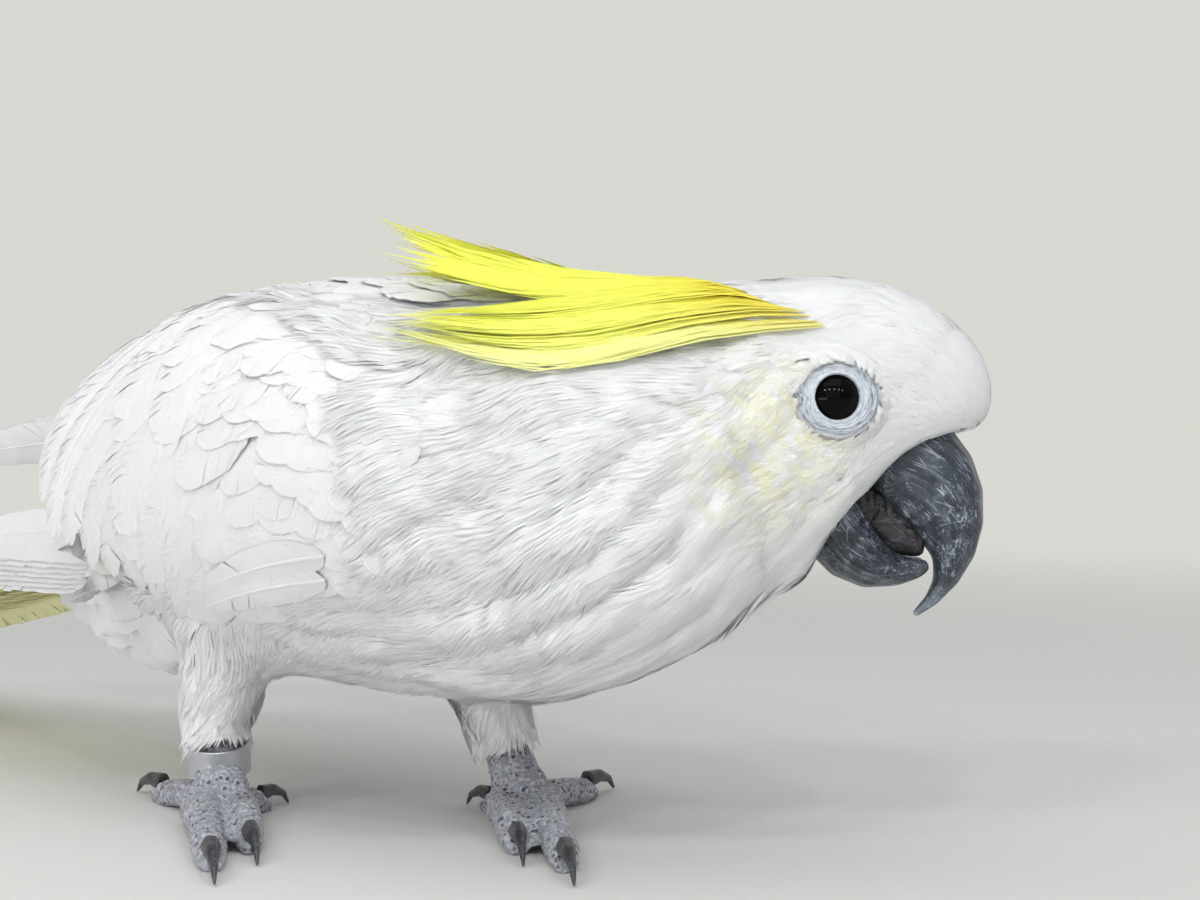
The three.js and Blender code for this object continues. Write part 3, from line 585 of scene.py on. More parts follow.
def lid_tones(tree, grain):
    """The colour of the lids, with painted shade in the furrows of their wrinkles. Their x is the
    distance from the eye's middle in mm.
    """
    lid_place = stored(tree, "lid_place", "Vector")
    reach = put(tree, "ShaderNodeSeparateXYZ", {"Vector": lid_place}).outputs["X"]
    crease_shade = noisy(tree, stretched(tree, lid_place, (5.2, 0.9, 0.9)), 1.0, 3.0)
    rim, outer = mixed(tree, grain, *LID_RIM), mixed(tree, grain, *LID_OUTER)
    lid = mixed(tree, ranged(tree, reach, 6.6, LID_END), rim, outer)
    # the dark lines are painted shade in the furrows of the wrinkles, stronger further from the eye
    lines = ranged(tree, crease_shade, 0.52, 0.38)
    lines = maths(tree, "MULTIPLY", lines, ranged(tree, reach, 5.9, 7.4, 0.35, 0.9))
    return mixed(tree, lines, lid, LID_CREASE_SHADE)


def skin_material():
    material, tree, bsdf = shader("skin")
    place, foot = here(tree), stored(tree, "foot")
    grain = noisy(tree, place, 900.0, 3.0)
    scales, dark = scale_tones(tree, place, grain, stored(tree, "scale_relief"))
    face = mixed(tree, stored(tree, "bare_face"), DOWN, lid_tones(tree, grain))
    coloured(tree, bsdf, mixed(tree, foot, face, scales))
    height = maths(tree, "ADD", grain, maths(tree, "MULTIPLY", dark, foot))
    bumped(tree, bsdf, height, 0.4, 0.2 * MM)
    bsdf.inputs["Roughness"].default_value = 0.55
    return material


skin.data.materials.append(skin_material())
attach(skin, "root")
KEPT_APART = ("wing_right", "wing_left", "eye_right", "eye_left")
fleshy = [node for nodes, _, _ in FLESH.values() for node in nodes]
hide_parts(*(node for node in fleshy if node not in KEPT_APART))


# ---------------------------------------------------------------- body plumage
# Soft contour feathers that overlap like tiles, each a fan of thin barb clumps on one shaft. They
# are rooted in the skin and lie back along the body. Face feathers are the smallest.
BAKE_PATCH = 0.003  # width of one feather's patch on the unwrapped skin

# Feathers as arrays: points, triangles, and for each point its place on the unwrapped skin, its
# place among the barbs, its share along the feather, the feather's own shade, and its normal.
Plumes = namedtuple("Plumes", "points faces bake barbs along shade normals")


def unwrap(body):
    """Lays the skin's own shape out flat in the UV map OFBake."""
    body.data.uv_layers.new(name="OFBake")
    bpy.context.view_layer.objects.active = body
    body.select_set(True)
    bpy.ops.object.mode_set(mode="EDIT")
    bpy.ops.mesh.select_all(action="SELECT")
    bpy.ops.uv.smart_project(angle_limit=math.radians(66), island_margin=0.003)
    bpy.ops.object.mode_set(mode="OBJECT")
    body.select_set(False)


class Ground:
    """The finished skin as arrays: triangles, corner UVs, normals, and a tree for nearest points."""

    def __init__(self, body):
        mesh = body.data
        mesh.calc_loop_triangles()
        count = len(mesh.loop_triangles)
        corners = np.empty(3 * count, np.int32)
        loops = np.empty(3 * count, np.int32)
        mesh.loop_triangles.foreach_get("vertices", corners)
        mesh.loop_triangles.foreach_get("loops", loops)
        uv = np.empty(2 * len(mesh.loops), np.float32)
        mesh.uv_layers["OFBake"].data.foreach_get("uv", uv)
        self.corners = corners.reshape(-1, 3)
        self.uv = uv.reshape(-1, 2)[loops.reshape(-1, 3)]
        self.points, self.normals = points_of(mesh), normals_of(mesh)
        self.group = group_of(self.points)
        triangles = self.points[self.corners]
        self.middle = triangles.mean(1)
        cross = np.cross(triangles[:, 1] - triangles[:, 0], triangles[:, 2] - triangles[:, 0])
        self.area = np.linalg.norm(cross, axis=1) / 2
        self.part = self.group[self.corners[:, 0]]
        self.tree = BVHTree.FromPolygons(self.points.tolist(), self.corners.tolist())

    def nearest(self, points):
        """Nearest skin points and their normals."""
        found = [self.tree.find_nearest(p)[:2] for p in points]
        places = np.array([hit[0] for hit in found])
        return places, np.array([hit[1] for hit in found])


unwrap(skin)
ground = Ground(skin)
GROUPS = list(FLESH)


def unit(vectors):
    return vectors / np.linalg.norm(vectors, axis=-1, keepdims=True).clip(1e-9)


def ripple(points, wave, seed):
    """A smooth random value from about -1 to 1, with bumps about `wave` metres apart."""
    local = np.random.default_rng(seed)
    total = np.zeros(len(points))
    for _ in range(5):
        way = unit(local.normal(size=3)) * 2 * math.pi / wave * local.uniform(0.6, 1.4)
        total += np.sin(points @ way + local.uniform(0, 6.3))
    return total / 2.6


CLEARANCE = 0.82  # the share of the spacing within which no other feather is rooted


def roots(wanted, spacing, seed=1):
    """Evenly scattered places on the skin. wanted(middle, part) picks triangles; spacing is in
    metres, a number or a function of places. Gives places, normals and UVs."""
    local = np.random.default_rng(seed)
    mask = wanted(ground.middle, ground.part)
    gap = spacing(ground.middle) if callable(spacing) else np.full(len(ground.middle), spacing)
    weight = ground.area * mask / gap**2
    count = int(weight.sum() * 4)
    chosen = local.choice(len(weight), count, p=weight / weight.sum())
    share = local.dirichlet((1, 1, 1), count)
    places = (ground.points[ground.corners[chosen]] * share[:, :, None]).sum(1)
    normals = unit((ground.normals[ground.corners[chosen]] * share[:, :, None]).sum(1))
    uv = (ground.uv[chosen] * share[:, :, None]).sum(1)
    reach = gap[chosen] * CLEARANCE
    cell = reach.max()
    cells = {}
    kept = []
    keys = np.floor(places / cell).astype(int)
    around = [(x, y, z) for x in (-1, 0, 1) for y in (-1, 0, 1) for z in (-1, 0, 1)]
    spots = places.tolist()
    for k, (i, j, m) in enumerate(keys.tolist()):
        x, y, z = spots[k]
        limit = reach[k] ** 2
        clear = True
        for a, b, c in around:
            for px, py, pz in cells.get((i + a, j + b, m + c), ()):
                if (px - x) ** 2 + (py - y) ** 2 + (pz - z) ** 2 < limit:
                    clear = False
                    break
            if not clear:
                break
        if clear:
            cells.setdefault((i, j, m), []).append((x, y, z))
            kept.append(k)
    return places[kept], normals[kept], uv[kept]


BACK = -FORWARD
UP = np.array([0, 0, 1.0])
RIGHT_OF_TRUNK = np.array([-math.sin(TRUNK_YAW), -math.cos(TRUNK_YAW), 0])
# The lie of the coat: (place, the way the feathers point there).
LIE = [
    (at("head", 0.98, 0.5, 0.62), (-0.1, 0, 1)),
    (at("head", 0.8, 0.5, 1.0), (-0.9, 0, 0.45)),
    (at("head", 0.45, 0.5, 1.0), (-1, 0, 0.05)),
    (at("head", 0.9, 0.15, 0.5), (-0.95, 0, 0.3)),
    (at("head", 0.9, 0.85, 0.5), (-0.95, 0, 0.3)),
    (at("head", 0.3, 0.0, 0.85), (-1, 0, -0.12)),
    (at("head", 0.3, 1.0, 0.85), (-1, 0, -0.12)),
    (at("head", 0.2, 0.0, 0.5), (-0.8, 0, -0.6)),
    (at("head", 0.2, 1.0, 0.5), (-0.8, 0, -0.6)),
    (at("head", 0.5, 0.05, 0.3), (-0.85, 0, -0.5)),
    (at("head", 0.5, 0.95, 0.3), (-0.85, 0, -0.5)),
    (at("head", 0.3, 0.5, 0.0), (-0.75, 0, -0.65)),
    (at("neck", 0.5, 0.4, 1.0), (-1, 0.1, 0)),
    (at("neck", 0.6, 0.0, 0.6), (-0.95, 0, -0.25)),
    (at("neck", 0.6, 1.0, 0.6), (-0.95, 0.2, -0.25)),
    (at("neck", 0.9, 0.4, 0.05), (-0.6, 0, -0.8)),
    (at("neck", 0.7, 0.05, 0.25), (-0.7, 0, -0.7)),
    (at("neck", 0.3, 0.3, 0.0), (-0.85, 0.1, -0.5)),
    (at("trunk", 0.9, 0.02, 0.35), BACK + (0, 0, -0.55)),
    (at("trunk", 0.8, 0.3, 1.0), BACK),
    (at("trunk", 0.7, 0.25, 0.0), BACK + (0, 0, -0.1)),
    (at("trunk", 0.4, 0.5, 0.0), BACK),
    (at("trunk", 0.4, 0.55, 1.0), BACK),
    (at("trunk", 0.3, 0.3, 0.2), BACK + (0, 0, -0.5)),
    (at("trunk", 0.0, 1.0, 0.7), BACK + (0, 0, -0.15)),
    (at("trunk", 0.6, 0.9, 0.3), BACK + (0, 0, -0.4)),
    (at("thigh_right", 0.5, 0.0, 0.6), (-0.15, 0, -1)),
    (at("thigh_right", 0.5, 0.5, 0.1), (0, 0, -1)),
    (at("thigh_left", 0.5, 0.0, 0.6), (-0.15, 0, -1)),
    (at("thigh_left", 0.5, 0.5, 0.1), (0, 0, -1)),
]
LIE_PLACES = np.array([place for place, _ in LIE])
LIE_WAYS = unit(np.array([way for _, way in LIE], float))


def lie_of_coat(points, normals, sway=0.0, wave=22 * MM, seed=3):
    """The way feathers point at places on the skin, along its surface, parted round the eyes."""
    away = np.linalg.norm(points[:, None] - LIE_PLACES[None], axis=2)
    weight = 1 / (away + 4 * MM) ** 3.2
    way = unit((weight[:, :, None] * LIE_WAYS[None]).sum(1))
    for side in SIDES:
        middle, out, _, _ = (np.array(v) for v in eye_frame(side))
        offset = points - (middle + out * 5 * MM)
        flat = offset - (offset @ out)[:, None] * out
        near = np.exp(-((np.linalg.norm(offset, axis=1) / (12.5 * MM)) ** 4))
        inward = np.clip(-(unit(flat) * way).sum(1), 0, 1)
        way = unit(way + unit(flat) * (near * (0.25 + 1.5 * inward))[:, None])
    if sway:
        turn = sway * ripple(points, wave, seed)
        side_way = np.cross(normals, way)
        way = way * np.cos(turn)[:, None] + side_way * np.sin(turn)[:, None]
    return unit(way - (way * normals).sum(1)[:, None] * normals)


def billow(points, wave, seed):
    """A smooth random height that runs in long locks along the body, and its slope."""
    local = np.random.default_rng(seed)
    height, slope = np.zeros(len(points)), np.zeros((len(points), 3))
    for _ in range(8):
        way = unit(local.normal(size=3)) * 2 * math.pi / wave * local.uniform(0.6, 1.5)
        way = way - 0.68 * (way @ LOCKS) * LOCKS
        phase = points @ way + local.uniform(0, 6.3)
        height += np.sin(phase)
        slope += np.cos(phase)[:, None] * way
    return height / 2.8, slope / 2.8


LOCKS = unit(np.array([-0.8, 0.15, -0.5]))
STEPS = 4  # lengths into which a feather's shaft is laid over the skin
BILLOW = 11 * MM  # from one lock of the coat to the next


def shafts(places, normals, length, height, sway, lift=None, seed=3, billows=None):
    """Lays each feather's shaft back over the skin. height(s) is how far above the skin the shaft
    runs at share s of its length. Gives line points, across directions and normals, each
    (feathers, STEPS + 1, 3)."""
    count = len(places)
    lines = np.empty((count, STEPS + 1, 3))
    acrosses, ups = np.empty_like(lines), np.empty_like(lines)
    spot, normal = places.copy(), normals.copy()
    for step in range(STEPS + 1):
        way = lie_of_coat(spot, normal, sway, seed=seed)
        if step:
            way = unit(0.5 * way + 0.5 * last)
            way = unit(way - (way * normal).sum(1)[:, None] * normal)
        rise = height(step / STEPS)
        if lift is not None:
            rise = rise + lift * (step / STEPS) ** 2
        top = normal
        if billows is not None:
            swell, slope = billow(spot, BILLOW, 8)
            rise = rise + billows * swell
            slope = slope - (slope * normal).sum(1)[:, None] * normal
            top = unit(normal - 1.5 * billows[:, None] * slope)
        lines[:, step] = spot + normal * np.asarray(rise).reshape(-1, 1)
        acrosses[:, step] = np.cross(normal, way)
        ups[:, step] = top
        last = way
        if step < STEPS:
            spot, fresh = ground.nearest(spot + way * (length / STEPS)[:, None])
            normal = unit(0.4 * normal + 0.6 * fresh)
    return lines, acrosses, ups


def on_shaft(values, share):
    """Values given at the shaft's steps, read at shares (feathers, places) of its length."""
    steps = values.shape[1] - 1
    place = np.clip(share, 0, 1) * steps
    low = np.minimum(place.astype(int), steps - 1)
    f = (place - low)[..., None]
    rows = np.arange(len(values)).reshape(-1, *([1] * (share.ndim - 1)))
    beyond = (share - np.clip(share, 0, 1))[..., None] * steps
    step = values[rows, low + 1] - values[rows, low]
    return values[rows, low] + step * (f + beyond)


SHORT_STRIP = (0.0, 0.4, 0.75, 1.0)  # shares of its length at which a strip of 3 rows is divided


def strip_faces(strips, rows):
    """Triangles of strips that each hold `rows` pairs of points and one tip point."""
    faces = []
    for r in range(rows - 1):
        a = 2 * r
        faces += [(a, a + 1, a + 3), (a, a + 3, a + 2)]
    faces.append((2 * rows - 2, 2 * rows - 1, 2 * rows))
    size = 2 * rows + 1
    start = (np.arange(strips) * size)[:, None, None]
    return (np.array(faces)[None] + start).reshape(-1, 3)


def as_plumes(points, faces, bake, barbs, along, shade, normals):
    """Feathers whose arrays still have one axis for each feather, row and side, laid out flat."""
    return Plumes(
        points.reshape(-1, 3),
        faces,
        bake.reshape(-1, 2),
        barbs.reshape(-1, 2),
        along.reshape(-1),
        shade.reshape(-1),
        normals.reshape(-1, 3),
    )


def soft_feathers(line, across, up, uv, half, clumps, rows, seed, ragged=0.12, shade=None):
    """Feathers as fans of barb clumps, each a strip of so many rows that tapers to a point."""
    local = np.random.default_rng(seed)
    count = len(line)
    # a clump's place across the fan, from -1 to 1, and the shares of the shaft that it spans
    a = np.linspace(-1, 1, clumps)[None] + local.normal(0, 0.35 / clumps, (count, clumps))
    start = np.clip(0.02 + 0.25 * (1 - np.abs(a)), 0, 0.4)
    end = 1 - 0.42 * np.abs(a) ** 2.2 + local.normal(0, ragged, (count, clumps))
    share = np.array(SHORT_STRIP) if rows == len(SHORT_STRIP) - 1 else np.linspace(0, 1, rows + 1)
    swollen = 0.6 + 0.4 * np.clip(share[:-1] / 0.3, 0, 1)
    body = np.sqrt(np.clip(1 - share[:-1] ** 2.2, 0, 1)) * swollen
    t = share[None, None]
    v = start[..., None] + (end - start)[..., None] * t
    u = a[..., None] * (1 - (1 - t) ** 2.0)
    width = 1.7 * half[:, None, None] / clumps * body[None, None]
    width = width * local.uniform(0.75, 1.3, (count, clumps, 1))
    bend = local.normal(0, 0.1, (count, clumps, 1)) * t**2
    x = (u + bend) * half[:, None, None]
    rise = local.normal(0, 0.028, (count, clumps, 1)) * half[:, None, None] * t
    rise = rise - 0.1 * half[:, None, None] * u**2
    tilt = local.normal(0, 0.07, (count, clumps, 1))
    left_x, right_x = x[..., :rows] - width, x[..., :rows] + width
    flat_v = v.reshape(count, -1)
    base = on_shaft(line, flat_v).reshape(count, clumps, rows + 1, 3)
    side = unit(on_shaft(across, flat_v)).reshape(count, clumps, rows + 1, 3)
    top = unit(on_shaft(up, flat_v)).reshape(count, clumps, rows + 1, 3)

    def spot(xs, heights, r):
        return base[:, :, r] + side[:, :, r] * xs[..., None] + top[:, :, r] * heights[..., None]

    pairs = []
    for r in range(rows):
        lean = tilt[..., 0] * width[..., r]
        pairs.append(spot(left_x[..., r], rise[..., r] - lean, r))
        pairs.append(spot(right_x[..., r], rise[..., r] + lean, r))
    pairs.append(spot(x[..., rows], rise[..., rows], rows))
    points = np.stack(pairs, axis=2)
    order = [r for r in range(rows) for _ in (0, 1)] + [rows]
    along = v[:, :, order]
    wide = np.stack([u[:, :, r] for r in order], axis=2)
    bake = uv[:, None, None, :] + BAKE_PATCH * np.stack([0.5 * wide, along - 0.5], axis=-1)
    edge = np.array([r % 2 for r in range(2 * rows)] + [0.5])
    barb = np.stack(np.broadcast_arrays(edge[None, None] + 7.3 * a[..., None], along), axis=-1)
    shade = local.uniform(0, 1, count) if shade is None else shade
    shade = np.broadcast_to(shade[:, None, None], along.shape)
    faces = strip_faces(count * clumps, rows)
    lean = (0.35 * wide + local.normal(0, 0.1, (count, clumps, 1)))[..., None]
    normals = unit(top[:, :, order] + side[:, :, order] * lean)
    return as_plumes(points, faces, bake, barb, along, shade, normals)


def coat_piece(name, parts, material):
    """One piece made of the feathers in parts, which rides with the body."""
    shift = np.cumsum([0] + [len(part.points) for part in parts[:-1]])
    parts = [part._replace(faces=part.faces + offset) for part, offset in zip(parts, shift)]
    points, faces, bake, barbs, along, shade, normals = map(np.concatenate, zip(*parts))
    # every face looks the way its feather's normals do
    corner = points[faces]
    facing = np.cross(corner[:, 1] - corner[:, 0], corner[:, 2] - corner[:, 0])
    inward = (facing * normals[faces].sum(1)).sum(1) < 0
    faces[inward] = faces[inward, ::-1]
    mesh = bpy.data.meshes.new(name)
    mesh.vertices.add(len(points))
    mesh.vertices.foreach_set("co", points.astype(np.float32).ravel())
    mesh.loops.add(faces.size)
    mesh.loops.foreach_set("vertex_index", faces.astype(np.int32).ravel())
    mesh.polygons.add(len(faces))
    mesh.polygons.foreach_set("loop_start", np.arange(0, faces.size, 3, dtype=np.int32))
    mesh.polygons.foreach_set("use_smooth", np.ones(len(faces), bool))
    mesh.update(calc_edges=True)
    mesh.normals_split_custom_set_from_vertices(normals)
    for title, uv in (("OFBake", bake), ("barbs", barbs)):
        layer = mesh.uv_layers.new(name=title)
        layer.data.foreach_set("uv", uv[faces.ravel()].astype(np.float32).ravel())
    mesh.uv_layers["OFBake"].active_render = True
    keep_values(mesh, "along", along)
    keep_values(mesh, "shade", shade)
    piece = hang(name, mesh, material)
    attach(piece, "root")
    return piece


def group_with(name, *outputs):
    """A new shader node group; gives it and its output node."""
    group = bpy.data.node_groups.new(name, "ShaderNodeTree")
    for title in outputs:
        group.interface.new_socket(title, in_out="OUTPUT", socket_type="NodeSocketFloat")
    return group, group.nodes.new("NodeGroupOutput")


CHEEKS = [at("head", 0.17, y, 0.47) for y in (0.0, 1.0)]
WASH_FROM, WASH_TO = 30 * MM, 4 * MM  # from a cheek's middle: where the wash begins and is full
WASH_TINT = (0.90, 0.88, 0.55)


def cheek_wash():
    """Gives the patchy yellow wash of the cheeks as a mask, by place on the bird."""
    group, output = group_with("cheek_wash", "Wash")
    place = here(group)
    near = []
    for cheek in CHEEKS:
        ends = {0: place, 1: tuple(cheek)}
        apart = put(group, "ShaderNodeVectorMath", ends, operation="DISTANCE").outputs["Value"]
        near.append(ranged(group, apart, WASH_FROM, WASH_TO, kind="SMOOTHSTEP"))
    turned = stretched(group, place, (1, 1, 1), (0, -0.6, 0))
    streaks = noisy(group, stretched(group, turned, (0.3, 1, 1)), 330.0)
    patchy = ranged(group, streaks, 0.36, 0.6, 0.0, 0.62)
    wash = maths(group, "MULTIPLY", maths(group, "MAXIMUM", *near), patchy)
    group.links.new(wash, output.inputs["Wash"])
    return group


def barb_lines():
    """Gives the fine lines of the barbs, as relief from 0 to 1 and as a tone close to 1."""
    group, output = group_with("barb_lines", "Lines", "Tone")
    barbs = put(group, "ShaderNodeUVMap", uv_map="barbs").outputs["UV"]
    lines = noisy(group, stretched(group, barbs, (3.5, 1.2, 1)), 1.0)
    group.links.new(lines, output.inputs["Lines"])
    group.links.new(ranged(group, lines, 0, 1, 0.93, 1.03), output.inputs["Tone"])
    return group


CHEEK_WASH, BARB_LINES = cheek_wash(), barb_lines()
LIGHT_REACH = 0.9 * MM  # how far light spreads in down, which softens the shade between barbs


def placed(tree, group):
    """The outputs of a node group, put into a material."""
    return put(tree, "ShaderNodeGroup", node_tree=group).outputs


def set_values(bsdf, values):
    """Sets a shader's own sockets, by name."""
    for key, value in values.items():
        bsdf.inputs[key].default_value = value


def plumage_material(name, root_tint, tip_tint, roughness, edge_tint=None, softness=0.35):
    """Feather colour from root to tip with fine barb lines. An edge tint shows by the shade."""
    material, tree, bsdf = shader(name)
    shade, barbs = stored(tree, "shade"), placed(tree, BARB_LINES)
    colour = mixed(tree, ranged(tree, stored(tree, "along"), 0, 0.45), root_tint, tip_tint)
    if edge_tint:
        colour = mixed(tree, shade, colour, edge_tint)
    else:
        colour = mixed(tree, placed(tree, CHEEK_WASH)["Wash"], colour, WASH_TINT)
    shade_tone = ranged(tree, shade, 0, 1, 1.0 if edge_tint else 0.965, 1.0)
    tone = maths(tree, "MULTIPLY", barbs["Tone"], shade_tone)
    toned = put(tree, "ShaderNodeVectorMath", {0: colour, "Scale": tone}, operation="SCALE")
    coloured(tree, bsdf, toned.outputs["Vector"])
    bumped(tree, bsdf, barbs["Lines"], 0.4, 0.08 * MM)
    bsdf.subsurface_method = "BURLEY"
    values = {
        "Roughness": roughness,
        "Specular IOR Level": 0.25,
        "Subsurface Weight": softness,
        "Subsurface Radius": (1, 1, 1),
        "Subsurface Scale": LIGHT_REACH,
    }
    set_values(bsdf, values)
    return material


white = plumage_material("white_plumage", (0.82, 0.82, 0.81), (0.885, 0.895, 0.90), 0.7)


def in_groups(*names):
    numbers = [GROUPS.index(name) for name in names]
    return lambda middle, part: np.isin(part, numbers)


def soft_coat(
    name,
    wanted,
    spacing,
    length,
    half,
    clumps,
    rows,
    depth,
    sway,
    seed,
    lift=0.0,
    billows=0.2,
    hanging=False,
):
    """A coat piece of soft feathers. length and half width are given in metres as functions of
    place, or numbers; depth is how thick the coat lies at the feather tips."""
    places, normals, uv = roots(wanted, spacing, seed)
    local = np.random.default_rng(seed)

    def read(value):
        return value(places) if callable(value) else np.full(len(places), value)

    long = read(length) * local.uniform(0.8, 1.2, len(places))
    wide = read(half) * local.uniform(0.85, 1.15, len(places))
    deep = read(depth)
    grown = growth(places)
    raised = local.normal(0, 1, len(places)) * 0.05 * deep * grown + read(lift)
    line, across, up = shafts(
        places,
        normals,
        long,
        lambda s: deep * (0.8 - 0.3 * grown + (0.12 + 0.33 * grown) * s**0.8),
        sway,
        raised,
        seed,
        billows=billows * np.clip(deep - 0.8 * MM, 0, None),
    )
    ragged = 0.04 + 0.06 * grown[:, None]
    feathers = soft_feathers(line, across, up, uv, wide, clumps, rows, seed, ragged)
    parts = [turned_level(feathers)] if hanging else [feathers]
    return coat_piece(name, parts, white)


def turned_level(part):
    """Feathers that hang free below the body, and so face sideways rather than down."""
    return part._replace(normals=unit(part.normals * (1, 1, 0.3)))


BILL_BASE = at("head", 1.0, 0.5, 0.3)
GROWTH_START, GROWTH_REACH = 10 * MM, 88 * MM  # from the base of the bill


def growth(places):
    """How large feathers grow: 0 at the base of the bill, 1 from the nape on."""
    away = np.linalg.norm(places - BILL_BASE, axis=1)
    return np.clip((away - GROWTH_START) / GROWTH_REACH, 0, 1)


# feathers are smallest this near the front of an eye, and full over so much more
EYE_CLEAR, EYE_FADE = 8 * MM, 9 * MM


def by_eyes(places):
    """How far feathers shrink: 0.4 at the bare rings round the eyes, 1 well away from them."""
    away = np.full(len(places), 1.0)
    for side in SIDES:
        middle, out, _, _ = (np.array(v) for v in eye_frame(side))
        away = np.minimum(away, np.linalg.norm(places - (middle + out * 5 * MM), axis=1))
    return 0.4 + 0.6 * np.clip((away - EYE_CLEAR) / EYE_FADE, 0, 1)


def feather_length(places):
    full = (3.2 + 13 * growth(places) ** 1.2) * by_eyes(places) * MM
    over_foot = np.clip(places[:, 2] - FOOT_TOP, 0, None) + 6.5 * MM
    return np.where(places[:, 2] < FOOT_TOP + 16 * MM, np.minimum(full, over_foot), full)


def feather_half(places):
    return (0.75 + 2.9 * growth(places) ** 1.2) * by_eyes(places) ** 0.8 * MM


def feather_gap(places):
    return (0.95 + 1.65 * growth(places) ** 1.1) * by_eyes(places) ** 0.8 * MM


def coat_depth(places):
    return (0.8 + 2.6 * growth(places) ** 1.4) * by_eyes(places) ** 0.6 * MM


def region(names, test=None):
    """Picks the skin of some groups, and of that only the places that pass the test."""
    inside = in_groups(*names)
    if test is None:
        return inside
    return lambda middle, part: inside(middle, part) & test(middle)


BARE_RING, RING_ABOVE = 8.9, 1.4  # mm: its radius, and how much narrower it is above the eye


def beyond_lids(places):
    """Whether skin lies outside the bare rings round the eyes, which are narrowest above."""
    clear = np.ones(len(places), bool)
    for side in SIDES:
        middle, out, ahead, up = (np.array(v) for v in eye_frame(side))
        local = places - middle
        x, z = local @ ahead, local @ up
        reach = np.hypot(x, z)
        narrow = (BARE_RING - RING_ABOVE * np.clip(z / reach, 0, 1)) * MM
        clear &= (reach > narrow) | (local @ out < 0)
    return clear


FACE_END = 0.3  # growth at which the finest feathers give way
TRUNK_MIDDLE = np.array(centre("trunk"))
BREAST_END, RUMP_START = -18 * MM, 58 * MM  # along the trunk, from its middle backwards


def along_trunk(places):
    return (places - TRUNK_MIDDLE) @ BACK


WING_COVER = 42 * MM  # behind this, the wing's end covers the low part of the trunk


def is_back(places):
    back = along_trunk(places)
    under_wing_end = (back > WING_COVER) & (places[:, 2] < TRUNK_MIDDLE[2] + 8 * MM)
    return (back >= BREAST_END) & (back < RUMP_START) & ~under_wing_end


def is_face(places):
    return (growth(places) < FACE_END) & beyond_lids(places)


def is_hindhead(places):
    return (growth(places) >= FACE_END) & beyond_lids(places)


def is_breast(places):
    return along_trunk(places) < BREAST_END


ROWS = 3
# name: (places, gap factor, barb clumps, sway, billows)
SOFT_COATS = {
    "face_coat": (region(["head", "eye"], is_face), 0.85, 8, 0.2, 0),
    "hindhead_coat": (region(["head", "eye"], is_hindhead), 1.0, 15, 0.26, 0.2),
    "neck_coat": (region(["neck"]), 1.0, 24, 0.34, 0.22),
    "breast_coat": (region(["trunk"], is_breast), 1.06, 24, 0.36, 0.24),
    "back_coat": (region(["trunk"], is_back), 1.15, 20, 0.25, 0.1),
    "thigh_coat": (region(["thigh"]), 0.8, 18, 0.25, 0.15),
}
for k, (name, (wanted, gap, clumps, sway, billows)) in enumerate(SOFT_COATS.items()):
    soft_coat(
        name,
        wanted,
        lambda places, gap=gap: feather_gap(places) * gap,
        feather_length,
        feather_half,
        clumps,
        ROWS,
        coat_depth,
        sway,
        21 + k,
        billows=billows,
    )


THROAT = at("bill_lower", -0.12, 0.5, 0.1)


def is_throat(places):
    return np.linalg.norm((places - THROAT) * (1, 0.8, 1.6), axis=1) < 11 * MM


soft_coat(
    "throat_coat",
    region(["head", "neck"], is_throat),
    spacing=3.6 * MM,
    length=14 * MM,
    half=2.1 * MM,
    clumps=6,
    rows=4,
    depth=2 * MM,
    sway=0.4,
    seed=29,
    lift=1.6 * MM,
    billows=0,
    hanging=True,
)


# ---------------------------------------------------------------- wings
# Folded wings: rows of rounded coverts that grow from the bend of the wing backwards, over long
# secondaries and a stack of narrow primaries. Each vane is made of barbs that zip together.
BACK_STEP, TURN_STEP = 6 * MM, 6.0  # between the places where a wing is measured
WING_BACKS = np.arange(-84, 109, 6.0) * MM
WING_TURNS = np.arange(-24, 157, TURN_STEP)
BEYOND = 0.2  # metres from the middle of the body, well outside the bird
UNMEASURED = 30 * MM  # the radius where neither wing nor trunk is met


def wing_radii(side):
    """How far the wing's outer surface lies from the trunk's axis, by distance behind the
    trunk's middle and degrees off the top."""
    wing, body = surface_of([f"wing_{side}"]), surface_of(["trunk", "neck"])
    out = RIGHT_OF_TRUNK * -SIDES[side]
    table = np.full((len(WING_BACKS), len(WING_TURNS)), np.nan)
    for i, back in enumerate(WING_BACKS):
        axis = Vector(TRUNK_MIDDLE + BACK * back)
        for j, turn in enumerate(np.radians(WING_TURNS)):
            ray = Vector(UP * math.cos(turn) + out * math.sin(turn))
            for tree in (wing, body):
                hit = tree.ray_cast(axis + ray * BEYOND, -ray, BEYOND)[0]
                if hit is not None:
                    table[i, j] = (hit - axis).length
                    break
    known = np.where(np.isnan(table), 0, table)
    weight = (~np.isnan(table)).astype(float)
    total, share = known * weight, weight.copy()
    for _ in range(3):
        total = blurred(total)
        share = blurred(share)
    return np.where(share > 0.02, total / share.clip(1e-6), UNMEASURED)


def blurred(table):
    padded = np.pad(table, 1, mode="edge")
    across = (padded[:, :-2] + 2 * padded[:, 1:-1] + padded[:, 2:]) / 4
    return (across[:-2] + 2 * across[1:-1] + across[2:]) / 4


WING_RADII = {side: wing_radii(side) for side in SIDES}


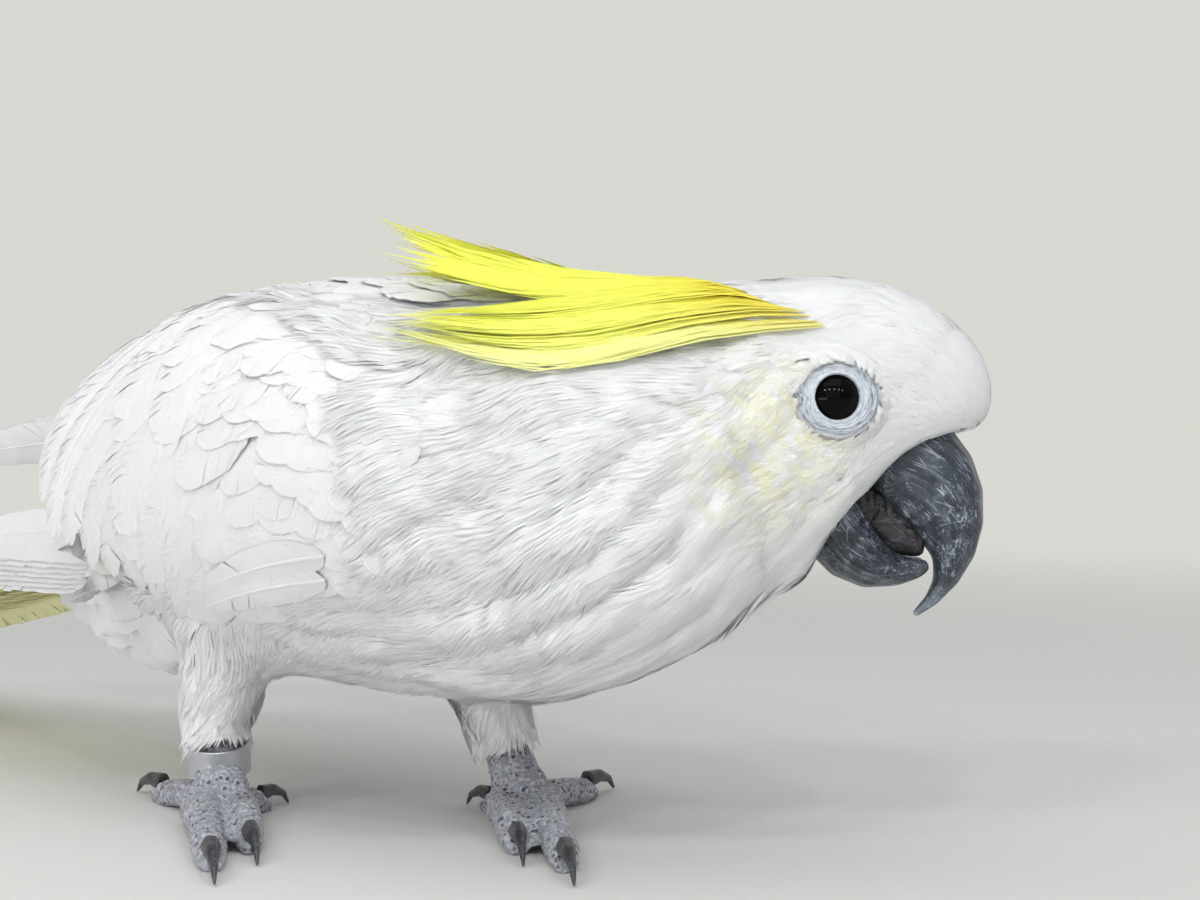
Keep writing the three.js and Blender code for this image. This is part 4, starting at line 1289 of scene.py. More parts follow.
def on_wing(side, back, turn, off):
    """Places on a folded wing; off is the height over its surface."""
    table = WING_RADII[side]
    i = np.clip((back - WING_BACKS[0]) / BACK_STEP, 0, len(WING_BACKS) - 1.001)
    j = np.clip((turn - WING_TURNS[0]) / TURN_STEP, 0, len(WING_TURNS) - 1.001)
    i0, j0 = i.astype(int), j.astype(int)
    fi, fj = i - i0, j - j0
    radius = (table[i0, j0] * (1 - fj) + table[i0, j0 + 1] * fj) * (1 - fi)
    radius = radius + (table[i0 + 1, j0] * (1 - fj) + table[i0 + 1, j0 + 1] * fj) * fi
    angle = np.radians(turn)[..., None]
    ray = UP * np.cos(angle) + RIGHT_OF_TRUNK * -SIDES[side] * np.sin(angle)
    return TRUNK_MIDDLE + BACK * back[..., None] + ray * (radius + off)[..., None]


WING_RADIUS = 42 * MM  # about how far the feathers lie from the trunk's axis


def wing_lines(side, back, turn, length, drift, low, high, steps=6):
    """Lines of feathers on a wing. They run back from (back, turn), and drift by so many degrees
    off the trunk's line, downwards and ever more; low and high are the heights of root and tip."""
    lines = []
    b, a = back.copy(), turn.copy()
    for step in range(steps + 1):
        share = step / steps
        lines.append(on_wing(side, b, a, low + (high - low) * share))
        heading = np.radians(drift * (0.4 + 1.2 * share))
        b = b + length / steps * np.cos(heading)
        a = a + np.degrees(length / steps * np.sin(heading) / WING_RADIUS)
    return framed(np.stack(lines, axis=1))


def wing_paths(side, root, tip, low, high, steps=12):
    """Lines of feathers on a wing from root to tip, each (metres behind, degrees) as arrays. They
    run back first and then bend down; low and high are the heights of root and tip."""
    bend = (root[0] + 0.85 * (tip[0] - root[0]), root[1] + 0.3 * (tip[1] - root[1]))
    lines = []
    for step in range(steps + 1):
        t = step / steps
        back, turn = (
            (1 - t) ** 2 * root[k] + 2 * t * (1 - t) * bend[k] + t**2 * tip[k] for k in (0, 1)
        )
        lines.append(on_wing(side, back, turn, low + (high - low) * t))
    return framed(np.stack(lines, axis=1))


def squared(direction, ahead):
    """Directions turned at right angles to the feathers' own."""
    return unit(direction - (direction * ahead).sum(-1)[..., None] * ahead)


def framed(line):
    """Lines with their across and outward directions."""
    ahead = unit(np.gradient(line, axis=1))
    axis_points = TRUNK_MIDDLE + ((line - TRUNK_MIDDLE) @ BACK)[..., None] * BACK
    outward = squared(unit(line - axis_points), ahead)
    across = np.cross(outward, ahead)
    return line, across, outward


def skin_uv(places):
    """The place of each root on the unwrapped skin."""
    return np.array([ground.uv[ground.tree.find_nearest(p)[2]].mean(0) for p in places])


WIDEST = 0.35  # the share of its length at which a vane is widest


def vane_width(share, blunt):
    """Half width of a vane at shares of its length, from 0 to 1."""
    rise = np.sin(math.pi / 2 * np.clip(share / WIDEST, 0, 1))
    past = np.clip((share - WIDEST) / (1 - WIDEST), 0, 1)
    return (0.35 + 0.65 * rise) * np.sqrt(np.clip(1 - past**blunt, 0, 1))


def vanes(
    line,
    across,
    up,
    half,
    length,
    barbs,
    seed,
    blunt=2.6,
    camber=0.16,
    splits=0.06,
    shaft=0.0,
):
    """Closed vanes of barb strips on both sides of a shaft. blunt is how square their tips are,
    camber how far they arch, splits the share of barbs that part from the next, and shaft the
    radius of a raised shaft. Gives the parts of a coat piece."""
    local = np.random.default_rng(seed)
    count = len(line)
    edge = 1 - (1 - np.linspace(0.04, 1, barbs + 1)) ** 1.15
    width = vane_width(edge, blunt)
    slant = (half / length)[:, None] * (width + 0.15)[None]
    start = np.clip(edge[None] - slant, 0, 0.985)
    end = edge[None] + local.normal(0, 0.004, (count, barbs + 1))
    b = np.array([0.0, 0.5, 1.0])
    side_sign = np.array([-1.0, 1.0])
    pick = np.arange(barbs)
    corner = np.stack([pick, pick + 1], axis=1)  # the two barbs that bound a strip
    a0, e1 = start[:, corner], end[:, corner]
    w = np.broadcast_to(width[corner][None], a0.shape)
    shape = (count, 2, barbs, 2, 3)
    v = a0[..., None] + (e1 - a0)[..., None] * b**1.25
    v = np.broadcast_to(v[:, None], shape).copy()
    x = np.broadcast_to((w[..., None] * b)[:, None], shape).copy()
    ragged = 1 + local.normal(0, 0.015, (count, 2, barbs, 1, 1))
    x = x * ragged
    parted = (local.random((count, 2, barbs)) < splits)[..., None, None]
    gap = parted * local.uniform(0.3, 0.9, (count, 2, barbs, 1, 1)) * b**1.5 / barbs
    v[:, :, :, 1:] -= gap
    lift = local.normal(0, 0.012, (count, 2, barbs, 1, 1)) * b
    tilt = np.array([-0.012, 0.012])[None, None, None, :, None] * b
    h = half[:, None, None, None, None]
    height = h * (-camber * x**2 + lift + tilt)
    x = x * h * side_sign[None, :, None, None, None]
    flat = v.reshape(count, -1)
    base = on_shaft(line, flat).reshape(*shape, 3)
    over = unit(on_shaft(across, flat)).reshape(*shape, 3)
    top = unit(on_shaft(up, flat)).reshape(*shape, 3)
    points = base + over * x[..., None] + top * height[..., None]
    # six points a strip: barb 0 at b 0, .5, 1 and barb 1 likewise
    quads = np.array([(0, 1, 4), (0, 4, 3), (1, 2, 5), (1, 5, 4)])
    flipped = quads[:, ::-1]
    strip = np.arange(count * 2 * barbs).reshape(count, 2, barbs)
    faces = np.concatenate(
        [
            (quads[None] + 6 * strip[:, 1].reshape(-1, 1, 1)).reshape(-1, 3),
            (flipped[None] + 6 * strip[:, 0].reshape(-1, 1, 1)).reshape(-1, 3),
        ]
    )
    uv = skin_uv(line[:, 0])
    spread = np.stack([0.5 * x / h, v - 0.5], axis=-1)
    bake = uv[:, None, None, None, None] + BAKE_PATCH * spread
    order = (pick[:, None] + np.array([0, 1])[None])[None, None, :, :, None] * 1.0
    barb = np.stack(np.broadcast_arrays(order, b[None, None, None, None] * np.ones(shape)), axis=-1)
    shade = np.broadcast_to(local.random((count, 1, 1, 1, 1)), shape)
    lean = (0.6 * camber + 0.25) * x / h + local.normal(0, 0.03, (count, 2, barbs, 1, 1))
    normals = unit(top + over * lean[..., None])
    parts = [as_plumes(points, faces, bake, barb, v, shade, normals)]
    if shaft:
        parts.append(shaft_ridges(line, across, up, uv, shaft, shade.reshape(count, -1)[:, 0]))
    return parts


SHAFT_ROWS = 10


def shaft_ridges(line, across, up, uv, radius, shade):
    """The raised shafts of large feathers, as roof-shaped strips that taper to the tip."""
    count = len(line)
    share = np.broadcast_to(np.linspace(0, 0.97, SHAFT_ROWS + 1), (count, SHAFT_ROWS + 1))
    base, over, top = (on_shaft(values, share) for values in (line, across, up))
    r = radius * (1 - 0.85 * share)[..., None]
    left, ridge, right = base - over * r, base + top * r * 0.9, base + over * r
    points = np.stack([left, ridge, right], axis=2)
    faces = []
    for row in range(SHAFT_ROWS):
        a = 3 * row
        for k in (0, 1):
            faces += [(a + k, a + k + 1, a + k + 4), (a + k, a + k + 4, a + k + 3)]
    start = (np.arange(count) * 3 * (SHAFT_ROWS + 1))[:, None, None]
    faces = (np.array(faces)[None] + start).reshape(-1, 3)
    along = np.repeat(share[..., None], 3, axis=2)
    bake = np.stack([np.zeros_like(along), along - 0.5], axis=-1) * BAKE_PATCH
    bake = bake + uv[:, None, None, :]
    barb = np.stack([np.full_like(along, 0.5), along], axis=-1)
    tone = np.broadcast_to(shade[:, None, None], along.shape)
    normals = unit(np.stack([top - over, top, top + over], axis=2))
    return as_plumes(points, faces, bake, barb, along, tone, normals)


def wing_row(side, back, turns, count, length, half, drift, low, high, barbs, seed, **shape):
    """One row of feathers side by side over a wing. Sizes are in mm, turns and drift in degrees."""
    local = np.random.default_rng(seed)
    turn = np.linspace(*turns, count) + local.normal(0, 1.2, count)
    place = (back + local.normal(0, 1.6, count)) * MM
    long = np.asarray(length) * local.uniform(0.93, 1.07, count) * MM
    wide = np.asarray(half) * local.uniform(0.92, 1.08, count) * MM
    jitter = local.normal(0, 0.25, count) * MM
    heading = drift + local.normal(0, 3, count)
    line, across, up = wing_lines(
        side, place, turn, long, heading, low * MM + jitter, high * MM + jitter
    )
    return vanes(line, across, up, wide, long, barbs, seed, **shape)


# rows of coverts: mm behind the trunk's middle, top and bottom degrees off the top, feathers in
# the row, length, half width, drift in degrees
COVERTS = [
    (-68, (68, 108), 7, 14, 4.8, 10),
    (-62, (60, 112), 9, 15, 5.2, 12),
    (-56, (48, 116), 12, 16, 5.6, 15),
    (-49, (36, 119), 14, 18, 6.0, 18),
    (-42, (26, 121), 16, 20, 6.4, 21),
    (-34, (14, 122), 18, 23, 6.9, 25),
    (-25, (4, 121), 18, 27, 7.6, 30),
    (-14, (-6, 114), 17, 33, 8.6, 36),
    (-2, (-14, 104), 15, 42, 9.6, 43),
]
# large smooth scapulars over the shoulder and the top of the wing
SCAPULARS = [
    (-72, (-34, 6), 7, 24, 7.5, 0),
    (-58, (-36, 8), 7, 26, 8.0, 2),
    (-44, (-40, 14), 8, 26, 8.0, 4),
    (-28, (-40, 22), 9, 32, 9.0, 8),
    (-8, (-38, 28), 9, 42, 10.5, 16),
]
LEFT_TOP = 34  # the left wing hangs further down its flank, so that its rows start lower
LEFT_BOTTOM = 112
COVERT_LIFT = (-0.9, 0.35)  # mm over the wing at root and tip
SCAPULAR_LIFT = (-1.1, 0.4)


def covert_parts(side):
    parts = []
    for k, (back, (top, bottom), count, length, half, drift) in enumerate(COVERTS):
        if side == "left":
            top, bottom = max(top, LEFT_TOP), min(bottom, LEFT_BOTTOM)
        sizes = (count, length, half, drift, *COVERT_LIFT)
        seed = 100 + 20 * k + SIDES[side]
        parts += wing_row(
            side, back, (top, bottom), *sizes, barbs=16, seed=seed, camber=0.15, splits=0.006
        )
    for k, (back, turns, *sizes) in enumerate(SCAPULARS):
        turns = np.array(turns) + (LEFT_TOP if side == "left" else 0)
        look = dict(barbs=22, seed=300 + k, camber=0.14, splits=0.004, blunt=3.6)
        parts += wing_row(side, back, turns, *sizes, *SCAPULAR_LIFT, **look)
    return parts


SECONDARIES = 11
# the last of the wing, in mm behind the trunk's middle, at its top and at its lower edge
WING_TIP = {"right": (67, 28), "left": (104, 60)}


def secondary_parts(side):
    """The long flight feathers of the forearm, whose tips hang as a fringe behind the wing."""
    q = np.linspace(0, 1, SECONDARIES)
    local = np.random.default_rng(41)
    top = LEFT_TOP - 10 if side == "left" else -22
    root = (6 * q * MM, top + (98 - top) * q)
    first, last = WING_TIP[side]
    ends = first + (last - first) * q**2 + local.normal(0, 1.5, SECONDARIES)
    tip = (ends * MM, 84 + 50 * q + local.normal(0, 2.5, SECONDARIES))
    low, high = np.full(SECONDARIES, -0.8 * MM), (1.6 - 1.6 * q) * MM
    line, across, up = wing_paths(side, root, tip, low, high)
    long = np.linalg.norm(np.diff(line, axis=1), axis=2).sum(1)
    half = (8.4 - 1.2 * q) * MM
    look = dict(barbs=44, seed=43, blunt=1.7, camber=0.3, splits=0.02, shaft=0.5 * MM)
    return vanes(line, across, up, half, long, **look)


def flank_parts(side):
    """The two alula quills, and long soft feathers that hang from under the right wing over the
    thigh; the left wing covers its own flank."""
    quill = dict(barbs=20, seed=48, camber=0.14, blunt=1.5, shaft=0.6 * MM)
    parts = wing_row(side, -44, (109, 115), 2, 47, 5.2, 12, 0.4, 1.6, **quill)
    if side == "right":
        soft = dict(barbs=26, seed=47, camber=0.2, splits=0.006, blunt=3.4)
        parts += wing_row(side, 0, (108, 124), 5, 46, 9.0, 66, -0.5, 1.4, **soft)
    return parts


for side in SIDES:
    coat_piece(f"coverts_{side}", covert_parts(side), white)
    coat_piece(f"flank_{side}", flank_parts(side), white)
    flight = coat_piece(f"secondaries_{side}", secondary_parts(side), white)
    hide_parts(f"wing_{side}")


def bent_line(start, end, sag, steps=8):
    """Straight lines from start to end that sag by so much in the middle."""
    share = np.linspace(0, 1, steps + 1)
    line = start[:, None] + (end - start)[:, None] * share[None, :, None]
    line[..., 2] -= sag * 4 * share * (1 - share)
    return line


def crossways(line, across):
    """The across directions of straight lines, square to each line, from one rough direction."""
    ahead = unit(np.gradient(line, axis=1))
    return ahead, unit(across - (ahead @ across)[..., None] * ahead)


PRIMARIES, SHORTER = 7, 0.34  # the shortest primary ends this share before the longest
PRIMARY_STACK = 3 * MM  # how far the shortest primary lies outside the longest


def primary_parts(side):
    """The long narrow feathers of the hand, folded into a stack, the longest innermost."""
    node = f"primaries_{side}"
    k = np.linspace(0, 1, PRIMARIES)
    root, tip = at(node, 1.02, 0, 0.72), at(node, 0.0, 1.0, 0.3)
    out = RIGHT_OF_TRUNK * -SIDES[side]
    stacked = out * (k * PRIMARY_STACK)[:, None]
    start = root + stacked + UP * ((k - 0.5) * 8 * MM)[:, None]
    end = root + (tip - root) * (1 - SHORTER * k)[:, None]
    end = end + stacked + UP * ((k - 0.5) * 9 * MM)[:, None]
    line = bent_line(start, end, -3 * MM)
    ahead, across = crossways(line, unit(-out * 0.4 + UP * 0.9))
    up = np.cross(ahead, across)
    up *= np.sign((up @ (UP + RIGHT_OF_TRUNK)).mean())
    half, long = np.full(PRIMARIES, 8 * MM), np.linalg.norm(end - start, axis=1)
    return vanes(line, across, up, half, long, barbs=34, seed=500, splits=0.01, shaft=0.7 * MM)


for side in SIDES:
    flight = coat_piece(f"folded_primaries_{side}", primary_parts(side), white)
    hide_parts(f"primaries_{side}")


# ---------------------------------------------------------------- tail
# Twelve broad rectrices in a flat fan, white above and washed with yellow below, the middle pair
# on top. Long soft coverts hide their roots on both sides.
TAIL_FEATHERS = 12
# width of the fan at its roots and tips, twice the drop of its edges, and its sag
TAIL_ROOTS, TAIL_SPREAD, TAIL_ROOF, TAIL_SAG = 30 * MM, 54 * MM, 8 * MM, 1 * MM
UNDERSIDE_DROP = 1.4 * MM  # how far the underside lies below the top side
TAIL_TWIST = math.radians(11)
TAIL_OUT = RIGHT_OF_TRUNK * math.cos(TAIL_TWIST) + UP * math.sin(TAIL_TWIST)
share = np.linspace(-0.5, 0.5, TAIL_FEATHERS)
tail_root, tail_tip = at("tail", 0.93, 0.03, 0.97), at("tail", 0.045, 0.84, 0.17)
start = tail_root + TAIL_OUT * (share * TAIL_ROOTS)[:, None]
shorter = 0.09 * (2 * np.abs(share)) ** 1.6
end = tail_root + (tail_tip - tail_root) * (1 - shorter)[:, None]
end = end + TAIL_OUT * (share * TAIL_SPREAD)[:, None]
roof = UP * (np.abs(share) * TAIL_ROOF)[:, None]
line = bent_line(start - roof, end - roof, TAIL_SAG)
ahead, across = crossways(line, TAIL_OUT)
up = np.cross(across, ahead)
up *= np.sign(up[..., 2].mean())
long = np.linalg.norm(end - start, axis=1)
half = np.full(TAIL_FEATHERS, 10.5 * MM)
rectrix = dict(barbs=40, seed=600, blunt=4.0, camber=0.08, splits=0.004)
yellow = plumage_material("yellow_wash", (0.96, 0.94, 0.40), (0.97, 0.95, 0.56), 0.7)
parts = vanes(line, across, up, half, long, **rectrix, shaft=0.9 * MM)
tail_top = coat_piece("tail_feathers", parts, white)
parts = vanes(line - UP * UNDERSIDE_DROP, across, up, half * 0.97, long, **rectrix)
# light comes through the vanes from above and brightens their undersides
parts = [part._replace(normals=unit(RIGHT_OF_TRUNK - 0.6 * part.normals)) for part in parts]
tail_below = coat_piece("tail_underside", parts, yellow)
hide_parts("tail")
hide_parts("tail")


def is_rump(places):
    return along_trunk(places) >= RUMP_START


FLANK_START, FLANK_END = 33 * MM, 92 * MM  # along the trunk, from its middle backwards


def is_flank(places):
    """The lower flanks behind the thighs, where long fluffy feathers bulge from under the wing."""
    back = along_trunk(places)
    top = TRUNK_MIDDLE[2] + (-8 + 20 * np.clip((back / MM - 38) / 6, 0, 1)) * MM
    return (back > FLANK_START) & (back < FLANK_END) & (places[:, 2] < top)


def downy_vanes(name, wanted, spacing, length, half, depth, lift, seed):
    """A coat piece of broad rounded downy feathers, one over the other like shingles."""
    places, normals, _ = roots(wanted, spacing, seed)
    local = np.random.default_rng(seed)
    long = length * local.uniform(0.85, 1.15, len(places))
    wide = half * local.uniform(0.85, 1.15, len(places))
    raised = lift * local.uniform(0.6, 1.2, len(places))

    def height(s):
        return depth * (0.3 + 0.7 * s)

    line, across, up = shafts(places, normals, long, height, 0.25, raised, seed)
    parts = vanes(line, across, up, wide, long, 22, seed, blunt=3.2, camber=0.45, splits=0.01)
    return coat_piece(name, [turned_level(part) for part in parts], white)


# name: (places, mm for spacing, length, half width, depth and lift at the tip, seed)
DOWN_COATS = {
    "tail_coverts": (region(["trunk"], is_rump), (6, 30, 8.5, 4, 2), 25),
    "flank_down": (region(["trunk"], is_flank), (7, 26, 9, 5, 3), 26),
}
for name, (wanted, sizes, seed) in DOWN_COATS.items():
    downy_vanes(name, wanted, *(size * MM for size in sizes), seed)


# ---------------------------------------------------------------- crest
# A recumbent crest of long narrow lemon-yellow feathers. They are rooted in a strip on the crown,
# lie back over the nape and curl up at the tips; their barbs hang as loose silky strands.
flesh = surface_of(["head", "neck", "trunk"])
UNMET = 45 * MM  # height over the neck's axis where a ray meets no flesh


def over_body(x_share, turn, off):
    """A place over the head or nape: x as a share of the crest's length, degrees off the top."""
    low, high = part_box("crest")
    x = low.x + (high.x - low.x) * x_share
    axis = Vector((x, (low.y + high.y) / 2, centre("neck").z))
    ray = Vector((0, math.sin(math.radians(turn)), math.cos(math.radians(turn))))
    hit = flesh.ray_cast(axis + ray * BEYOND, -ray, BEYOND)[0]
    return np.array(hit if hit is not None else axis + ray * UNMET) + np.array(ray) * off


CREST_FEATHERS = 60
# degrees off the top at which the outermost feathers lie, by share of the crest's length
CREST_SPREAD = ((0.0, 20), (0.2, 44), (0.38, 54), (0.58, 47), (0.78, 34), (0.95, 28))
CREST_STEPS = (1.0, 0.85, 0.67, 0.5, 0.33, 0.16, 0.0)
CREST_PARTING = 0.5  # feathers nearer the middle than this curl up, the others lie on the neck
CREST_HALF = 3.3 * MM  # half width of a feather


def crest_lines():
    local = np.random.default_rng(31)
    lines, paleness = [], []
    for k in range(CREST_FEATHERS):
        share = -1 + 2 * (k + 0.5) / CREST_FEATHERS + local.normal(0, 0.02)
        s = min(1, abs(share))
        upper = s < CREST_PARTING
        curl = (18 * (1 - s) ** 0.7 if upper else 3.0) + local.uniform(-0.9, 0.9)
        root = 0.95 - 0.33 * (1 - s) ** 1.2  # the middle feathers are rooted further back
        reach = local.uniform(-0.02, 0.09) + (0.05 if upper else 0.0)
        rise = local.uniform(-0.4, 0.4)
        gather = 0.55 if upper else 0.0  # how far the tips of the upper lobe run together
        path = []
        for step in CREST_STEPS:
            x = reach + (root - reach) * step
            turn = share * np.interp(x, *zip(*CREST_SPREAD))
            turn *= 1 - gather * (1 - step) ** 2
            off = 0.4 + (1.9 - 1.1 * s**2 + rise) * min(1, (1 - step) / 0.15)
            off += curl * max(0, (0.45 - x) / 0.45) ** 1.9
            path.append(over_body(x, -turn, off * MM))
        lines.append(path)
        paleness.append(s)
    return np.array(lines), np.array(paleness)


line, paleness = crest_lines()
ahead = unit(np.gradient(line, axis=1))
axis_y = (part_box("crest")[0].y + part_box("crest")[1].y) / 2
outward = np.stack([line[..., 0] * 0, line[..., 1] - axis_y, line[..., 2] - centre("neck").z], -1)
outward = squared(outward, ahead)
# towards their tips the feathers of the upper lobe turn their flat sides outwards
step = np.linspace(0, 1, line.shape[1])
sideways = np.sign(line[:, :1, 1] - axis_y) * (paleness < CREST_PARTING)[:, None]
outward[..., 1] += 2.4 * sideways * np.clip((step - 0.3) / 0.4, 0, 1)
outward = squared(outward, ahead)
across = np.cross(outward, ahead)
half = np.full(CREST_FEATHERS, CREST_HALF)
strand = dict(clumps=15, rows=8, seed=31, ragged=0.06, shade=0.8 * paleness**7)
strands = soft_feathers(line, across, outward, skin_uv(line[:, 0]), half, **strand)
GOLDEN_ROOT, LEMON, PALE_EDGE = (0.96, 0.80, 0.05), (0.94, 0.97, 0.13), (0.94, 0.95, 0.50)
lemon = plumage_material("crest_yellow", GOLDEN_ROOT, LEMON, 0.6, PALE_EDGE, softness=0.25)
crest = coat_piece("crest_feathers", [strands], lemon)
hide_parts("crest")


# ---------------------------------------------------------------- bill
# Two hollow horn sheaths over bone, charcoal grey and powdered with down dust, with growth lines
# round them and scratches along them. The dark fleshy tongue lies between.
def smooth_copy(name, node, voxel, rounds):
    """A fine smooth mesh of a CAD node's solid that keeps the solid's size."""
    piece = remeshed(hang(name, mesh_of(welded([node]), name)), voxel)
    before, edges = points_of(piece.data), edges_of(piece.data)
    points = before.copy()
    for _ in range(rounds):
        points = eased(points, edges, 0.5)
    set_points(piece.data, points)
    normals = normals_of(piece.data)
    lost = ((before - points) * normals).sum(1)
    for _ in range(rounds + 10):
        lost = eased(lost, edges, 0.5)
    set_points(piece.data, points + normals * lost[:, None])
    lie_smooth(piece.data)
    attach(piece, "root")
    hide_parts(node)
    return piece


def keep_ridges(mesh):
    """Stores where the surface forms ridges, such as the cutting edges, from 0 to 1."""
    points, normals, edges = points_of(mesh), normals_of(mesh), edges_of(mesh)
    around = points
    for _ in range(3):
        around = eased(around, edges, 1.0)
    bulge = ((points - around) * normals).sum(1)
    for _ in range(2):
        bulge = eased(bulge, edges, 0.5)
    keep_values(mesh, "ridge", np.clip(bulge / (0.16 * MM) - 0.25, 0, 1))


BILL_CURVE = 30 * MM  # radius of the bill's curve
BILL_VOXEL, BILL_ROUNDS = 0.5 * MM, 30  # size of its faces, and rounds of smoothing


def keep_lengthwise(mesh, hub):
    """Stores coordinates round a hub: distance from it, y, and distance along the curve."""
    offset = points_of(mesh) - hub
    radius = np.hypot(offset[:, 0], offset[:, 2])
    swing = np.arctan2(offset[:, 2], offset[:, 0]) * BILL_CURVE
    keep_vectors(mesh, "lengthwise", np.stack([radius, offset[:, 1], swing], axis=1))


def scratches(tree, vector, turn, least):
    """Long thin scratches in one direction; a mask from 0 to 1."""
    turned = stretched(tree, vector, (1, 1, 1), (0, turn, 0))
    cloud = noisy(tree, stretched(tree, turned, (1, 1, 0.02)), 2800.0, 0.0)
    return ranged(tree, cloud, least, least + 0.07)


# each direction of scratches: turn in radians, and the least noise that counts as a scratch
SCRATCHES = ((0.3, 0.70), (-0.4, 0.72), (1.2, 0.75), (-1.1, 0.76))


def horn_wear():
    """Gives where horn is powdered and scratched, and its growth lines, as masks."""
    group, output = group_with("horn_wear", "Powder", "Growth", "Scratches")
    where, ridge = stored(group, "lengthwise", "Vector"), stored(group, "ridge")

    def cloud(stretch, scale):
        return noisy(group, stretched(group, where, stretch), scale, 4.0)

    def both(a, b):
        return maths(group, "MULTIPLY", a, b)

    def either(a, b):
        return maths(group, "MAXIMUM", a, b)

    streaks, patches = cloud((1, 1, 0.05), 900.0), cloud((1, 1, 1), 160.0)
    growth_lines, fine = cloud((1, 0.3, 0.05), 520.0), cloud((1, 1, 1), 2600.0)
    scratched = scratches(group, where, 0.0, 0.66)
    for turn, least in SCRATCHES:
        scratched = either(scratched, scratches(group, where, turn, least))
    arcs = both(ranged(group, streaks, 0.52, 0.70), ranged(group, fine, 0.3, 0.6, 0.3, 0.8))
    powder = both(either(scratched, arcs), ranged(group, patches, 0.40, 0.60, 0.06, 1.0))
    worn = both(ridge, ranged(group, patches, 0.3, 0.6, 0.3, 1.0))
    veil = both(ranged(group, patches, 0.52, 0.74), ranged(group, fine, 0.35, 0.7))
    powder = either(either(powder, worn), both(veil, 0.55))
    for title, value in (("Powder", powder), ("Growth", growth_lines), ("Scratches", scratched)):
        group.links.new(value, output.inputs[title])
    return group


HORN_WEAR = horn_wear()
DUST_ROUGHNESS = 0.8


def horn_material(name, dark, pale, dust, roughness):
    """Horn between two tones along its growth lines, with dust and wear on it."""
    material, tree, bsdf = shader(name)
    powder, growth_lines, scratched = placed(tree, HORN_WEAR)
    base = mixed(tree, ranged(tree, growth_lines, 0.35, 0.65), dark, pale)
    coloured(tree, bsdf, mixed(tree, powder, base, dust))
    height = maths(tree, "SUBTRACT", growth_lines, maths(tree, "MULTIPLY", scratched, 0.3))
    bumped(tree, bsdf, height, 0.5, 0.25 * MM)
    tree.links.new(ranged(tree, powder, 0, 1, roughness, DUST_ROUGHNESS), bsdf.inputs["Roughness"])
    return material


# jaw: (the hub of its curve in its box, the horn's dark and pale tones, dust, roughness)
JAWS = {
    "upper": ((0.2, 0.5, 0.3), (0.02, 0.025, 0.036), (0.06, 0.073, 0.098), (0.44, 0.50, 0.58), 0.32),
    "lower": ((0.75, 0.5, 0.95), (0.01, 0.013, 0.02), (0.032, 0.039, 0.054), (0.30, 0.34, 0.40), 0.27),
}
for jaw, (hub_place, *finish) in JAWS.items():
    horn = smooth_copy(f"{jaw}_bill", f"bill_{jaw}", BILL_VOXEL, BILL_ROUNDS)
    keep_ridges(horn.data)
    keep_lengthwise(horn.data, at(f"bill_{jaw}", *hub_place))
    horn.data.materials.append(horn_material(f"{jaw}_horn", *finish))

FORWARD_X = np.array([1.0, 0, 0])
TONGUE_BACK = 1.6  # how far the root of the tongue runs back, as a share of its lift


def wrinkled(mesh, lift, wave, depth):
    """Raises the top of the tongue to the palate and folds it across."""
    points, normals = points_of(mesh), normals_of(mesh)
    facing = np.clip(normals[:, 2:] + 0.3, 0, 1)
    folds = np.abs(np.sin(points[:, :1] * math.pi / wave)) ** 0.6
    rear = np.clip(-normals[:, :1], 0, 1)
    raised = (UP * facing - FORWARD_X * rear * TONGUE_BACK) * lift
    set_points(mesh, points + raised + normals * facing * folds * depth)


tongue = smooth_copy("tongue_flesh", "tongue", 0.35 * MM, 6)
wrinkled(tongue.data, 3.7 * MM, 2.4 * MM, 0.5 * MM)
keep_lengthwise(tongue.data, at("tongue", 0.5, 0.5, -1))
TONGUE_TONES = ((0.012, 0.012, 0.014), (0.04, 0.04, 0.045), (0.16, 0.16, 0.18))
tongue.data.materials.append(horn_material("tongue_flesh", *TONGUE_TONES, 0.35))


# ---------------------------------------------------------------- eyes
# Glossy near-black eyeballs with a dark brown iris. Each is a ball whose front bulges out as the
# cornea, and sits between the lids that the skin forms.
CORNEA_EDGE = 0.78  # how far out of the ball, as a share of its radius, the cornea begins
CORNEA_BULGE = 0.5 * MM


def eyeball(side):
    middle, outward, ahead, upward = eye_frame(side)
    bm = bmesh.new()
    bmesh.ops.create_uvsphere(bm, u_segments=48, v_segments=32, radius=EYE_RADIUS)
    for v in bm.verts:
        share = max(0, v.co.z / EYE_RADIUS)
        v.co.z += CORNEA_BULGE * max(0, (share - CORNEA_EDGE) / (1 - CORNEA_EDGE)) ** 1.5
        v.co = middle + ahead * v.co.x + upward * v.co.y + outward * v.co.z
    if (ahead.cross(upward)).dot(outward) < 0:
        bmesh.ops.reverse_faces(bm, faces=bm.faces)
    mesh = mesh_of(bm, f"eyeball_{side}")
    off_axis = np.linalg.norm(np.cross(points_of(mesh) - np.array(middle), outward), axis=1)
    keep_values(mesh, "off_axis", off_axis / MM)
    lie_smooth(mesh)
    return mesh


PUPIL = (0.0004, 0.0004, 0.0004)
IRIS = ((0.0006, 0.0005, 0.0004), (0.002, 0.0014, 0.001))
PUPIL_EDGE, IRIS_EDGE = 2.6, 3.2  # mm from the eye's axis, where pupil turns into iris


def eye_material():
    material, tree, bsdf = shader("eyeball")
    brown = mixed(tree, noisy(tree, here(tree), 1500.0), *IRIS)
    iris = ranged(tree, stored(tree, "off_axis"), PUPIL_EDGE, IRIS_EDGE)
    coloured(tree, bsdf, mixed(tree, iris, PUPIL, brown))
    set_values(bsdf, {"Roughness": 0.03, "IOR": 1.3, "Specular IOR Level": 0.24})
    return material


